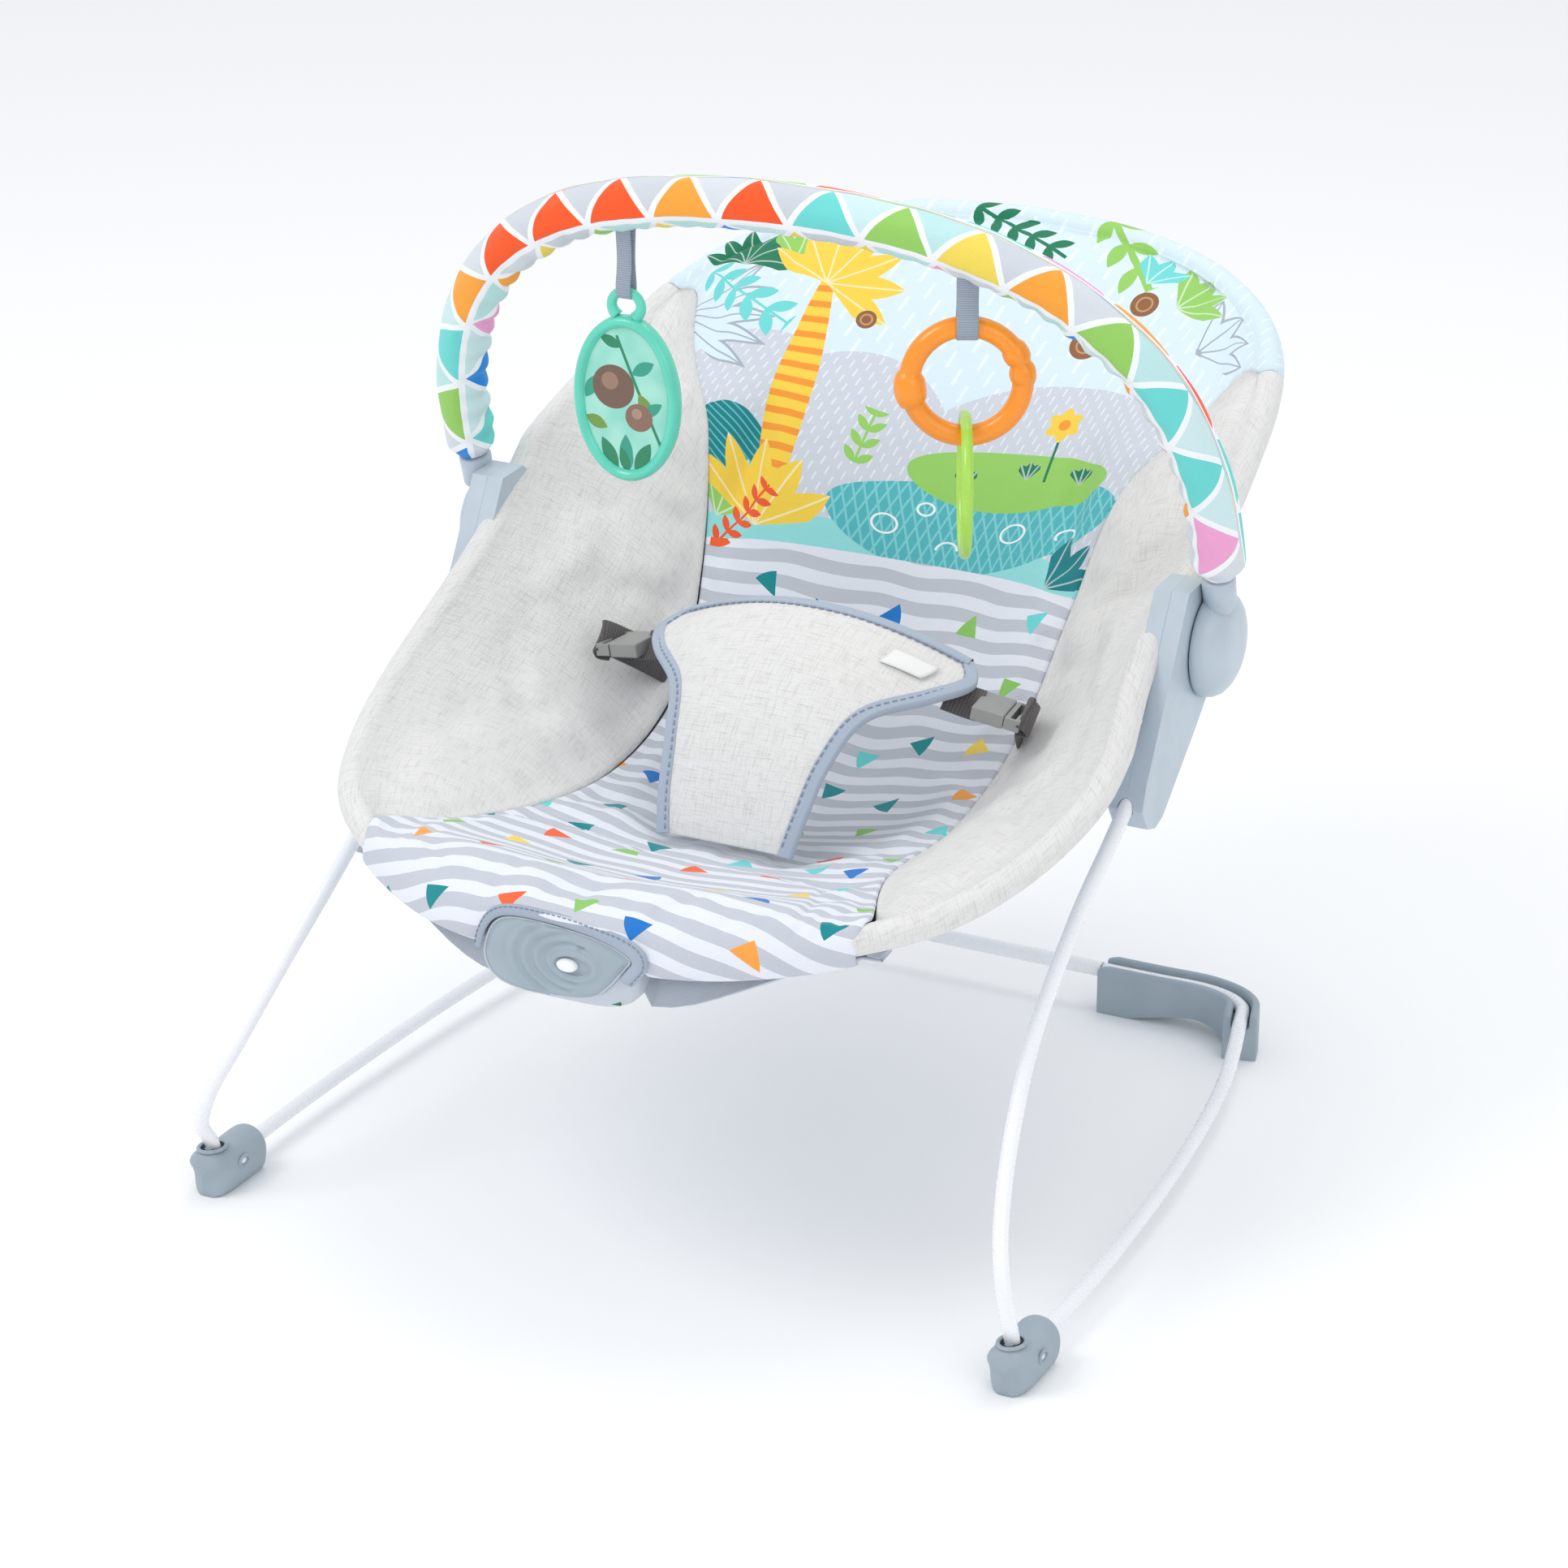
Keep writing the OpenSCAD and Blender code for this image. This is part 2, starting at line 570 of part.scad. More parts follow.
// Places a point of the arch, given as [x, height], in the leaning plane of the bar
function bar_place(p) =
    [p[0], pivot_y - p[1] * sin(bar_lean), pivot_z + p[1] * cos(bar_lean)];
function bar_half(t0) =
    [for (k = [0 : bar_steps]) bar_place(bezier(bar_control, t0 + (1 - t0) * k / bar_steps))];
function bar_path(t0) =
    let (h = bar_half(t0))
    concat(h, [for (k = [bar_steps - 1 : -1 : 0]) [-h[k][0], h[k][1], h[k][2]]]);
bar_up = [0, 1, 0];
module toy_bar_tube() color(plastic) sweep(bar_path(0.165), bar_d / 2, bar_up, 14);
module toy_bar_sleeve() color(stripe) sweep_hollow(bar_path(0.245), sleeve_d / 2, bar_d / 2 + 0.6,
                                                   bar_up);

neck_r = 7.4;
neck_top = 41;
module bar_hub(side) {
    mirror([side < 0 ? 1 : 0, 0, 0]) color(shell_grey) translate([0, pivot_y, pivot_z])
    difference() {
        union() {
            translate([hub_x + shell_half + 0.5, 0, 0]) rotate([0, 90, 0])
                cylinder(r = disc_r, h = 12);
            translate([hub_x + shell_half + 12.4, 0, 0]) rotate([0, 90, 0])
                cylinder(r = disc_r - 6, h = 3);
            translate([hub_x + 0.6, 0, 0]) rotate([0, 90, 0]) cylinder(r = axle_r, h = 12);
            translate([hub_x + bar_off, 0, 0]) rotate([bar_lean, 0, 0])
                translate([0, 0, disc_r - 8]) cylinder(r = neck_r, h = neck_top - disc_r + 8);
        }
        translate([hub_x + bar_off, 0, 0]) rotate([bar_lean, 0, 0])
            translate([0, 0, 26]) cylinder(r = bar_d / 2 + 0.7, h = 30);
    }
}

// ---- hanging toys ----
bar_at_toy = bar_place(bezier(bar_control, 0.855));
toy_y = bar_at_toy[1];
toy_z = bar_at_toy[2] - sleeve_d / 2 - 3.5;      // height of the ribbon hinge
ribbon_w = 11;
ribbon_t = 1.2;
ring_tube = 11;
ring_turn = 27;                 // the ring faces a little towards +X
ring_top = toy_z - 16;

module torus(major, minor) rotate_extrude() translate([major, 0]) circle(minor, $fn = 24);
// A folded strap that hangs down by drop and ends in a loop with a square hole
module ribbon(turn, drop, width, hole) {
    rotate([0, 0, turn]) color([0.72, 0.75, 0.81]) {
        translate([-width / 2, -ribbon_t, -drop]) cube([width, 2 * ribbon_t, drop]);
        translate([-width / 2, -hole / 2 - ribbon_t, -drop - hole - 2 * ribbon_t])
            difference() {
                cube([width, hole + 2 * ribbon_t, hole + 2 * ribbon_t]);
                translate([-1, ribbon_t, ribbon_t]) cube([width + 2, hole, hole]);
            }
    }
}
loop_gap = 0.4;                 // room between a ribbon's loop and the toy in it
module ring_ribbon() {
    translate([toy_x, toy_y, toy_z])
        ribbon(ring_turn, toy_z - ring_top - loop_gap - ribbon_t, ribbon_w, ring_tube + 1);
}
module teether_ring() {
    translate([toy_x, toy_y, ring_top - ring_d / 2]) rotate([0, 0, ring_turn])
        rotate([90, 0, 0]) color("orange") {
            torus((ring_d - ring_tube) / 2, ring_tube / 2);
            rotate([0, 0, 188]) translate([(ring_d - ring_tube) / 2, 0, 0]) sphere(8.5);
            for (a = [6, 26])
                rotate([0, 0, a]) translate([(ring_d - ring_tube) / 2, 0, 0]) sphere(6.8);
        }
}
link_tube = 6;
ring_low = ring_top - ring_d + ring_tube / 2;    // middle of the ring's lowest section
link_z = ring_low + ring_tube / 2 + 0.4 + link_tube - link_d / 2;
module link_ring() {
    translate([toy_x, toy_y, link_z]) rotate([0, 0, ring_turn + 90]) rotate([90, 0, 0])
        color([0.67, 0.86, 0.31]) torus((link_d - link_tube) / 2, link_tube / 2);
}
eyelet_r = 9;
eyelet_tube = 4;
eyelet_top = toy_z - 42 + 2 * eyelet_r - 3;
module medallion_ribbon() {
    translate([-toy_x, toy_y, toy_z])
        ribbon(0, toy_z - eyelet_top - loop_gap - ribbon_t, 8, eyelet_tube + 2);
}
medallion_z = toy_z - 42 - medallion_h / 2;
module oval(w, h) {
    r = w * 0.5;
    translate([0, (h - w) / 2]) circle(r);
    translate([0, -(h - w) / 2]) circle(r);
    translate([-r, -(h - w) / 2]) square([2 * r, h - w]);
}
module medallion_frame() {
    translate([-toy_x, toy_y, medallion_z]) rotate([90, 0, 0]) color([0.4, 0.84, 0.75]) {
        difference() {
            translate([0, 0, -5]) linear_extrude(10) oval(medallion_w, medallion_h);
            translate([0, 0, -6]) linear_extrude(12) oval(medallion_w - 12, medallion_h - 12);
        }
        translate([0, medallion_h / 2 + eyelet_r - 3, 0]) torus(eyelet_r - 2, eyelet_tube / 2);
    }
}
module medallion_insert() {
    translate([-toy_x, toy_y, medallion_z]) rotate([90, 0, 0]) color([0.7, 0.9, 0.87])
        translate([0, 0, -2.5]) linear_extrude(5) oval(medallion_w - 12, medallion_h - 12);
}

// Moves the drawing so that the origin is on the floor under the middle of the box
module place() translate([0, -origin_y, 0]) children();

place() runner_tube(-1);  // left_runner_tube
place() runner_tube(1);  // right_runner_tube
place() rear_cross_tube();
place() front_foot(-1);  // left_front_foot
place() front_foot(1);  // right_front_foot
place() rear_foot(-1);  // left_rear_foot
place() rear_foot(1);  // right_rear_foot
place() leg_tube(-1);  // left_leg_tube
place() leg_tube(1);  // right_leg_tube
place() seat_frame_upper_tube();
place() seat_frame_lower_tube();
place() hub_shell(-1, false);  // left_hub_inner_shell
place() hub_shell(1, false);  // right_hub_inner_shell
place() hub_shell(-1, true);  // left_hub_outer_shell
place() hub_shell(1, true);  // right_hub_outer_shell
place() hub_screws();
place() back_panel();
place() left_wing();
place() right_wing();
place() front_panel();
place() seat_lining();
place() crotch_pad();
place() waist_webbing(-1);  // left_waist_webbing
place() waist_webbing(1);  // right_waist_webbing
place() buckle_socket(-1);  // left_buckle_socket
place() buckle_socket(1);  // right_buckle_socket
place() buckle_tongue(-1);  // left_buckle_tongue
place() buckle_tongue(1);  // right_buckle_tongue
place() unit_front_shell();
place() unit_back_shell();
place() battery_door();
place() battery_cell();
place() battery_contacts();
place() vibration_motor();
place() eccentric_weight();
place() circuit_board();
place() unit_screws();
place() power_switch();
place() toy_bar_tube();
place() toy_bar_sleeve();
place() bar_hub(-1);  // left_bar_hub
place() bar_hub(1);  // right_bar_hub
place() medallion_ribbon();
place() medallion_frame();
place() medallion_insert();
place() ring_ribbon();
place() teether_ring();
place() link_ring();
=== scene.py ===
"""Looks of the baby bouncer seat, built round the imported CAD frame.

Everything is in metres, with +Z up and the child facing -Y. Shaping lines are written in
millimetres behind the front-foot bends, as in part.scad, and to_frame() moves them.
"""
import json
import math

import bmesh
import bpy
import numpy as np
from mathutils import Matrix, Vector, noise


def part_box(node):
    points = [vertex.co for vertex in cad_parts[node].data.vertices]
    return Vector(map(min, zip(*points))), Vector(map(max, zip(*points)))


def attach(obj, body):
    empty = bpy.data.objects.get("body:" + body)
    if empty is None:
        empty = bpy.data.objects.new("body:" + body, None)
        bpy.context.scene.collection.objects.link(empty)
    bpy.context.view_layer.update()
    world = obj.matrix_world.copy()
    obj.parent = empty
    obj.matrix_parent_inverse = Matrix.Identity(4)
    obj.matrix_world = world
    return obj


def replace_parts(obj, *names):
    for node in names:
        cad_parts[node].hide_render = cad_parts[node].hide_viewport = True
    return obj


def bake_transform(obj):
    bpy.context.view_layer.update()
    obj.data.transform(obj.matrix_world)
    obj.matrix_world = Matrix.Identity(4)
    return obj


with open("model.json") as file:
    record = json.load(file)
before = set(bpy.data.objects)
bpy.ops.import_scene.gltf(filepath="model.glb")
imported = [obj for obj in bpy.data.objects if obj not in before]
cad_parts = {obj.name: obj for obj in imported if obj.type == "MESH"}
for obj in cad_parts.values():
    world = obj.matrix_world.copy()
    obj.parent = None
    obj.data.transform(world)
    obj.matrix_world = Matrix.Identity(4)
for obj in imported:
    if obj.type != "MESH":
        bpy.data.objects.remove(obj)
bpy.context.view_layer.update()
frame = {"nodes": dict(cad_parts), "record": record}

MM = 0.001
DEPTH_ORIGIN = 231.5            # mm from the front-foot bends back to the frame's origin
SIDES = {"left": -1, "right": 1}
scene = bpy.context.scene


def to_frame(p):
    """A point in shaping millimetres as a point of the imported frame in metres."""
    return Vector((p[0] * MM, (p[1] - DEPTH_ORIGIN) * MM, p[2] * MM))


# ---------------------------------------------------------------- camera, light and floor
def add_camera():
    azimuth = math.radians(26.9)
    elevation = math.radians(22.5)
    distance = 2.345
    target = to_frame((46, 109.6, 239.6))
    back = Vector((math.sin(azimuth) * math.cos(elevation),
                   -math.cos(azimuth) * math.cos(elevation), math.sin(elevation)))
    camera = bpy.data.objects.new("camera", bpy.data.cameras.new("camera"))
    camera.data.lens = 106.9
    camera.data.sensor_width = 36
    camera.location = target + back * distance
    camera.rotation_mode = "QUATERNION"
    camera.rotation_quaternion = (-back).to_track_quat("-Z", "Y")
    scene.collection.objects.link(camera)
    scene.camera = camera


def add_area_light(name, place, aim, size, power):
    light = bpy.data.lights.new(name, "AREA")
    light.shape = "DISK"
    light.size = size
    light.energy = power
    lamp = bpy.data.objects.new(name, light)
    lamp.location = place
    lamp.rotation_mode = "QUATERNION"
    lamp.rotation_quaternion = (Vector(aim) - Vector(place)).to_track_quat("-Z", "Y")
    scene.collection.objects.link(lamp)


def add_light():
    scene.view_settings.view_transform = "Standard"
    world = bpy.data.worlds.new("studio")
    world.use_nodes = True
    background = world.node_tree.nodes["Background"]
    background.inputs["Color"].default_value = (0.96, 0.98, 1.0, 1)
    background.inputs["Strength"].default_value = 0.86
    scene.world = world
    add_area_light("key", (-1.1, -1.3, 2.1), (0, 0, 0.25), 1.2, 15)
    add_area_light("fill", (1.9, -1.2, 1.3), (0, 0, 0.25), 1.6, 6)
    add_area_light("top", (0.1, 0.6, 2.3), (0, 0, 0.2), 1.5, 9)


# ---------------------------------------------------------------- curve and vector helpers
def lerp(a, b, t):
    return a + (b - a) * t


def clamp(x, low=0.0, high=1.0):
    return min(max(x, low), high)


def smooth(x, start=0.0, end=1.0):
    t = clamp((x - start) / (end - start))
    return t * t * (3 - 2 * t)


def spline(points, t):
    """Catmull-Rom point at parameter t = 0 .. len(points) - 1."""
    last = len(points) - 1
    i = int(clamp(math.floor(t), 0, last - 1))
    f = t - i
    a, b, c, d = (Vector(points[int(clamp(k, 0, last))]) for k in (i - 1, i, i + 1, i + 2))
    return 0.5 * (2 * b + (c - a) * f + (2 * a - 5 * b + 4 * c - d) * f * f
                  + (3 * b - a - 3 * c + d) * f * f * f)


def spline_path(points, per):
    return [spline(points, k / per) for k in range((len(points) - 1) * per + 1)]


def mirrored(points):
    return [Vector((-p[0], p[1], p[2])) for p in points]


def tangents(path):
    last = len(path) - 1
    return [(path[min(k + 1, last)] - path[max(k - 1, 0)]).normalized() for k in range(last + 1)]


def arc_lengths(path):
    total = [0.0]
    for a, b in zip(path, path[1:]):
        total.append(total[-1] + (b - a).length)
    return total


# ---------------------------------------------------------------- mesh helpers
def add_piece(name, points, faces, body, material, marks=None):
    """A mesh piece from points in shaping millimetres, which rides on a body."""
    mesh = bpy.data.meshes.new(name)
    mesh.from_pydata([to_frame(p) for p in points], [], faces)
    if marks is not None:
        layer = mesh.attributes.new("fabric", "FLOAT_VECTOR", "POINT")
        layer.data.foreach_set("vector", [c for m in marks for c in m])
    return finish_piece(name, mesh, body, material)


def finish_piece(name, mesh, body, material):
    shape = bmesh.new()
    shape.from_mesh(mesh)
    bmesh.ops.remove_doubles(shape, verts=shape.verts, dist=1e-6)
    bmesh.ops.recalc_face_normals(shape, faces=shape.faces)
    shape.to_mesh(mesh)
    shape.free()
    mesh.polygons.foreach_set("use_smooth", [True] * len(mesh.polygons))
    piece = bpy.data.objects.new(name, mesh)
    scene.collection.objects.link(piece)
    mesh.materials.append(material)
    if body:
        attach(piece, body)
    return piece


def add_subdivision(piece):
    modifier = piece.modifiers.new("finer", "SUBSURF")
    modifier.levels = 1
    modifier.render_levels = 1


def add_bevel(piece, width, angle=30, segments=3):
    modifier = piece.modifiers.new("rounded", "BEVEL")
    modifier.width = width * MM
    modifier.segments = segments
    modifier.limit_method = "ANGLE"
    modifier.angle_limit = math.radians(angle)


def grid_faces(rows, cols, closed=False):
    """Quads between rows of points; closed joins the last column to the first."""
    faces = []
    for i in range(rows - 1):
        for j in range(cols if closed else cols - 1):
            a = i * cols + j
            b = i * cols + (j + 1) % cols
            faces.append((a, b, b + cols, a + cols))
    return faces


def loft(name, rings, body, material, marks=None):
    """A closed skin through rings of points, each the same length, with capped ends."""
    cols = len(rings[0])
    faces = grid_faces(len(rings), cols, closed=True)
    faces.append(tuple(range(cols)))
    faces.append(tuple(range((len(rings) - 1) * cols, len(rings) * cols)))
    points = [p for ring in rings for p in ring]
    return add_piece(name, points, faces, body, material, marks=marks)


def path_frames(path, up):
    """Side and top directions along a path; up is a direction that the path never runs along."""
    frames = []
    for t in tangents(path):
        side = Vector(up).cross(t).normalized()
        frames.append((side, t.cross(side)))
    return frames


def tube(name, path, radius, up, body, material, sides=20):
    """A round tube along a path; radius is a number or a function of the share of its length."""
    rings = []
    last = len(path) - 1
    for k, (p, (side, top)) in enumerate(zip(path, path_frames(path, up))):
        r = radius(k / last) if callable(radius) else radius
        rings.append([p + r * (math.cos(a) * side + math.sin(a) * top)
                      for a in (2 * math.pi * s / sides for s in range(sides))])
    return loft(name, rings, body, material)


def profile_sweep(name, path, profile, up, body, material):
    """Sweeps a closed profile of (side, height) points; profile is a function of the share."""
    rings = []
    last = len(path) - 1
    for k, (p, (side, top)) in enumerate(zip(path, path_frames(path, up))):
        rings.append([p + x * side + z * top for x, z in profile(k / last)])
    return loft(name, rings, body, material)


def lathe(name, centre, axis, start, profile, body, material, sides=48):
    """A solid of revolution about axis through centre, from (radius, height) points."""
    axis = Vector(axis).normalized()
    side = (Vector(start) - axis * Vector(start).dot(axis)).normalized()
    other = axis.cross(side)
    rings = [[Vector(centre) + axis * h + r * (math.cos(a) * side + math.sin(a) * other)
              for a in (2 * math.pi * s / sides for s in range(sides))] for r, h in profile]
    return loft(name, rings, body, material)


def grid_normals(grid):
    """Unit normals of a grid of points, by central differences."""
    rows, cols = len(grid), len(grid[0])
    normals = []
    for i in range(rows):
        line = []
        for j in range(cols):
            along = grid[min(i + 1, rows - 1)][j] - grid[max(i - 1, 0)][j]
            across = grid[i][min(j + 1, cols - 1)] - grid[i][max(j - 1, 0)]
            n = across.cross(along)
            line.append(n.normalized() if n.length > 1e-9 else None)
        normals.append(line)
    for i in range(rows):
        for j in range(cols):
            if normals[i][j] is None:
                normals[i][j] = normals[max(i - 1, 0)][j] or normals[min(i + 1, rows - 1)][j]
    return normals


def slab(name, grid, depth, body, material, marks):
    """A closed sheet: grid is its face and depth(i, j) its thickness, against the normals.

    marks is a grid of (across, along) places in the cloth, in metres.
    """
    rows, cols = len(grid), len(grid[0])
    normals = grid_normals(grid)
    back = [[grid[i][j] - normals[i][j] * depth(i, j) for j in range(cols)] for i in range(rows)]
    points = [p for row in grid for p in row] + [p for row in back for p in row]
    count = rows * cols
    faces = grid_faces(rows, cols)
    faces += [tuple(k + count for k in reversed(f)) for f in grid_faces(rows, cols)]
    edge = [j for j in range(cols)]
    edge += [i * cols + cols - 1 for i in range(1, rows)]
    edge += [(rows - 1) * cols + j for j in range(cols - 2, -1, -1)]
    edge += [i * cols for i in range(rows - 2, 0, -1)]
    for a, b in zip(edge, edge[1:] + edge[:1]):
        faces.append((b, a, a + count, b + count))
    places = [(m[0], m[1], 0.0) for row in marks for m in row]
    return add_piece(name, points, faces, body, material, marks=places + places)


def softened(name, node, body, material, width):
    """The CAD node's own shape with rounded edges, which stands for it."""
    mesh = frame["nodes"][node].data.copy()
    mesh.materials.clear()
    shape = bmesh.new()
    shape.from_mesh(mesh)
    bmesh.ops.remove_doubles(shape, verts=shape.verts, dist=2e-5)
    bmesh.ops.dissolve_limit(shape, angle_limit=math.radians(1), verts=shape.verts,
                             edges=shape.edges)
    shape.to_mesh(mesh)
    shape.free()
    piece = finish_piece(name, mesh, body, material)
    add_bevel(piece, width)
    weighted = piece.modifiers.new("even_shading", "WEIGHTED_NORMAL")
    weighted.keep_sharp = True
    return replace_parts(piece, node)


# ---------------------------------------------------------------- node materials
def rgb(red, green, blue):
    """A screen colour from 0 to 255 as the linear colour that a shader takes."""
    channels = (c / 255 for c in (red, green, blue))
    return tuple(c / 12.92 if c <= 0.04045 else ((c + 0.055) / 1.055) ** 2.4
                 for c in channels) + (1.0,)


class Painter:
    """Adds nodes to one material; every method returns the socket it makes."""

    def __init__(self, name, roughness=0.5, sheen=0.0, coat=0.0, metallic=0.0, specular=0.5):
        self.material = bpy.data.materials.new(name)
        self.material.use_nodes = True
        self.tree = self.material.node_tree
        self.shader = self.tree.nodes["Principled BSDF"]
        self.shader.inputs["Roughness"].default_value = roughness
        self.shader.inputs["Sheen Weight"].default_value = sheen
        self.shader.inputs["Sheen Roughness"].default_value = 0.5
        self.shader.inputs["Coat Weight"].default_value = coat
        self.shader.inputs["Coat Roughness"].default_value = 0.2
        self.shader.inputs["Metallic"].default_value = metallic
        self.shader.inputs["Specular IOR Level"].default_value = specular

    def node(self, kind, inputs, output=0, **settings):
        made = self.tree.nodes.new(kind)
        for key, value in settings.items():
            setattr(made, key, value)
        for key, value in inputs.items():
            if isinstance(value, bpy.types.NodeSocket):
                self.tree.links.new(value, made.inputs[key])
            elif value is not None:
                made.inputs[key].default_value = value
        return made.outputs[output]

    def set(self, socket, value):
        self.tree.links.new(value, self.shader.inputs[socket])

    def cloth(self):
        """Place in the flat cloth, in millimetres."""
        place = self.node("ShaderNodeAttribute", {}, "Vector", attribute_name="fabric")
        return self.node("ShaderNodeVectorMath", {0: place, "Scale": 1000.0}, operation="SCALE")

    def object_place(self):
        """Place in the object's own frame, in millimetres."""
        place = self.node("ShaderNodeTexCoord", {}, "Object")
        return self.node("ShaderNodeVectorMath", {0: place, "Scale": 1000.0}, operation="SCALE")

    def math(self, operation, a, b=None, c=None):
        return self.node("ShaderNodeMath", {0: a, 1: b, 2: c}, operation=operation)

    def axes(self, place):
        made = self.tree.nodes.new("ShaderNodeSeparateXYZ")
        self.tree.links.new(place, made.inputs[0])
        return made.outputs[0], made.outputs[1], made.outputs[2]

    def local(self, place, x, y, size_x=1.0, size_y=1.0, turn=0.0):
        """place seen from a frame at (x, y), turned by turn degrees and scaled to 1."""
        return self.node("ShaderNodeMapping", {
            "Vector": place, "Location": (x, y, 0), "Rotation": (0, 0, math.radians(turn)),
            "Scale": (size_x, size_y, 1)}, vector_type="TEXTURE")

    def noise(self, place, scale, detail=2.0, roughness=0.5):
        return self.node("ShaderNodeTexNoise", {
            "Vector": place, "Scale": scale, "Detail": detail, "Roughness": roughness}, "Fac")

    def ramp(self, value, low, high, start=0.0, end=1.0):
        """Maps value from low..high to start..end, held at the ends."""
        return self.node("ShaderNodeMapRange", {
            "Value": value, "From Min": low, "From Max": high, "To Min": start, "To Max": end})

    def mix(self, share, under, over):
        made = self.tree.nodes.new("ShaderNodeMix")
        made.data_type = "RGBA"
        for key, value in (("Factor_Float", share), ("A_Color", under), ("B_Color", over)):
            socket = next(s for s in made.inputs if s.identifier == key)
            if isinstance(value, bpy.types.NodeSocket):
                self.tree.links.new(value, socket)
            else:
                socket.default_value = value
        return next(s for s in made.outputs if s.identifier == "Result_Color")

    def bump(self, height, distance, strength=1.0):
        normal = self.node("ShaderNodeBump", {
            "Height": height, "Distance": distance * MM, "Strength": strength})
        self.set("Normal", normal)

    # Masks: 1 inside the shape and 0 outside it
    def ellipse(self, place, x, y, size_x, size_y, turn=0.0):
        near = self.local(place, x, y, size_x, size_y, turn)
        far = self.node("ShaderNodeVectorMath", {0: near}, "Value", operation="LENGTH")
        return self.math("LESS_THAN", far, 1.0)

    def leaf(self, place, x, y, length, width, turn):
        """A pointed leaf whose stalk end is at (x, y) and which points along turn."""
        angle = math.radians(turn)
        near = self.local(place, x + math.cos(angle) * length / 2,
                          y + math.sin(angle) * length / 2, length / 2, width / 2, turn)
        along, across, _ = self.axes(near)
        edge = self.math("MULTIPLY_ADD", along, along, self.math("ABSOLUTE", across))
        return self.math("LESS_THAN", edge, 1.0)

    def blade(self, along, across, length, width):
        """Below 1 inside a pointed leaf that starts at 0 and lies along the first axis."""
        past = self.math("MULTIPLY_ADD", along, 2 / length, -1.0)
        side = self.math("MULTIPLY", self.math("ABSOLUTE", across), 2 / width)
        return self.math("MULTIPLY_ADD", past, past, side)

    def fan(self, place, x, y, length, width, middle, step, count):
        """Leaves spread from one point: how far out of a leaf each place is, and its vein."""
        near = self.local(place, x, y, turn=middle)
        px, py, _ = self.axes(near)
        bearing = self.math("ARCTAN2", py, px)
        half = math.radians(step) / 2
        shifted = self.math("ADD", bearing, 0.0 if count % 2 else half)
        folded = self.math("WRAP", shifted, half, -half)
        far = self.node("ShaderNodeVectorMath", {0: near}, "Value", operation="LENGTH")
        along = self.math("MULTIPLY", far, self.math("COSINE", folded))
        across = self.math("MULTIPLY", far, self.math("SINE", folded))
        beyond = self.math("GREATER_THAN", self.math("ABSOLUTE", bearing), half * count)
        edge = self.math("ADD", self.blade(along, across, length, width), beyond)
        return edge, self.math("LESS_THAN", self.math("ABSOLUTE", across), 0.55)

    def sprig(self, place, x, y, length, width, turn, pitch, leaf_length, leaf_width):
        """A straight stem with a pair of leaves at each pitch."""
        px, py, _ = self.axes(self.local(place, x, y, turn=turn))
        side = self.math("ABSOLUTE", py)
        step = self.math("WRAP", px, pitch, 0.0)
        c, s = math.cos(0.84), math.sin(0.84)
        along = self.math("MULTIPLY_ADD", step, c, self.math("MULTIPLY", side, s))
        across = self.math("MULTIPLY_ADD", side, c, self.math("MULTIPLY", step, -s))
        leaf = self.math("LESS_THAN", self.blade(along, across, leaf_length, leaf_width), 1.0)
        stem = self.math("LESS_THAN", side, width / 2)
        within = self.math("COMPARE", px, length / 2, length / 2)
        return self.both(self.math("MAXIMUM", leaf, stem), within)

    def line(self, place, x, y, length, width, turn):
        """A straight stroke from (x, y) along turn."""
        angle = math.radians(turn)
        near = self.local(place, x + math.cos(angle) * length / 2,
                          y + math.sin(angle) * length / 2, length / 2, width / 2, turn)
        largest = self.math("MAXIMUM", *(self.math("ABSOLUTE", a) for a in self.axes(near)[:2]))
        return self.math("LESS_THAN", largest, 1.0)

    def ring(self, place, x, y, radius, width, squash=1.0, turn=0.0):
        near = self.local(place, x, y, radius, radius * squash, turn)
        far = self.node("ShaderNodeVectorMath", {0: near}, "Value", operation="LENGTH")
        return self.math("COMPARE", far, 1.0, width / radius / 2)

    def union(self, *masks):
        total = masks[0]
        for m in masks[1:]:
            total = self.math("MAXIMUM", total, m)
        return total

    def both(self, a, b):
        return self.math("MULTIPLY", a, b)

    def hatch(self, place, pitch, turn, share):
        """Parallel lines across the whole cloth; share is the inked part of each pitch."""
        x, _, _ = self.axes(self.local(place, 0, 0, pitch, pitch, turn))
        return self.math("LESS_THAN", self.math("FRACT", x), share)

    def dashes(self, place, pitch, length, turn):
        """Staggered short strokes across the whole cloth."""
        x, y, _ = self.axes(self.local(place, 0, 0, pitch, length, turn))
        stagger = self.math("MULTIPLY_ADD", self.math("FLOOR", x), 0.37, y)
        return self.both(self.math("LESS_THAN", self.math("FRACT", x), 0.24),
                         self.math("LESS_THAN", self.math("FRACT", stagger), 0.5))

    def threads(self, place, pitch):
        """Height of a plain weave: two sets of threads of the given pitch, in millimetres."""
        x, y, _ = self.axes(place)
        turns = 2 * math.pi / pitch
        warp = self.math("SINE", self.math("MULTIPLY", x, turns))
        weft = self.math("SINE", self.math("MULTIPLY", y, turns))
        return self.math("MULTIPLY", warp, weft)

    def creases(self, place):
        """Soft wandering creases of a light cloth."""
        stretched = self.local(place, 0, 0, 26.0, 11.0, 20.0)
        return self.noise(stretched, 1.0, 3.0, 0.45)


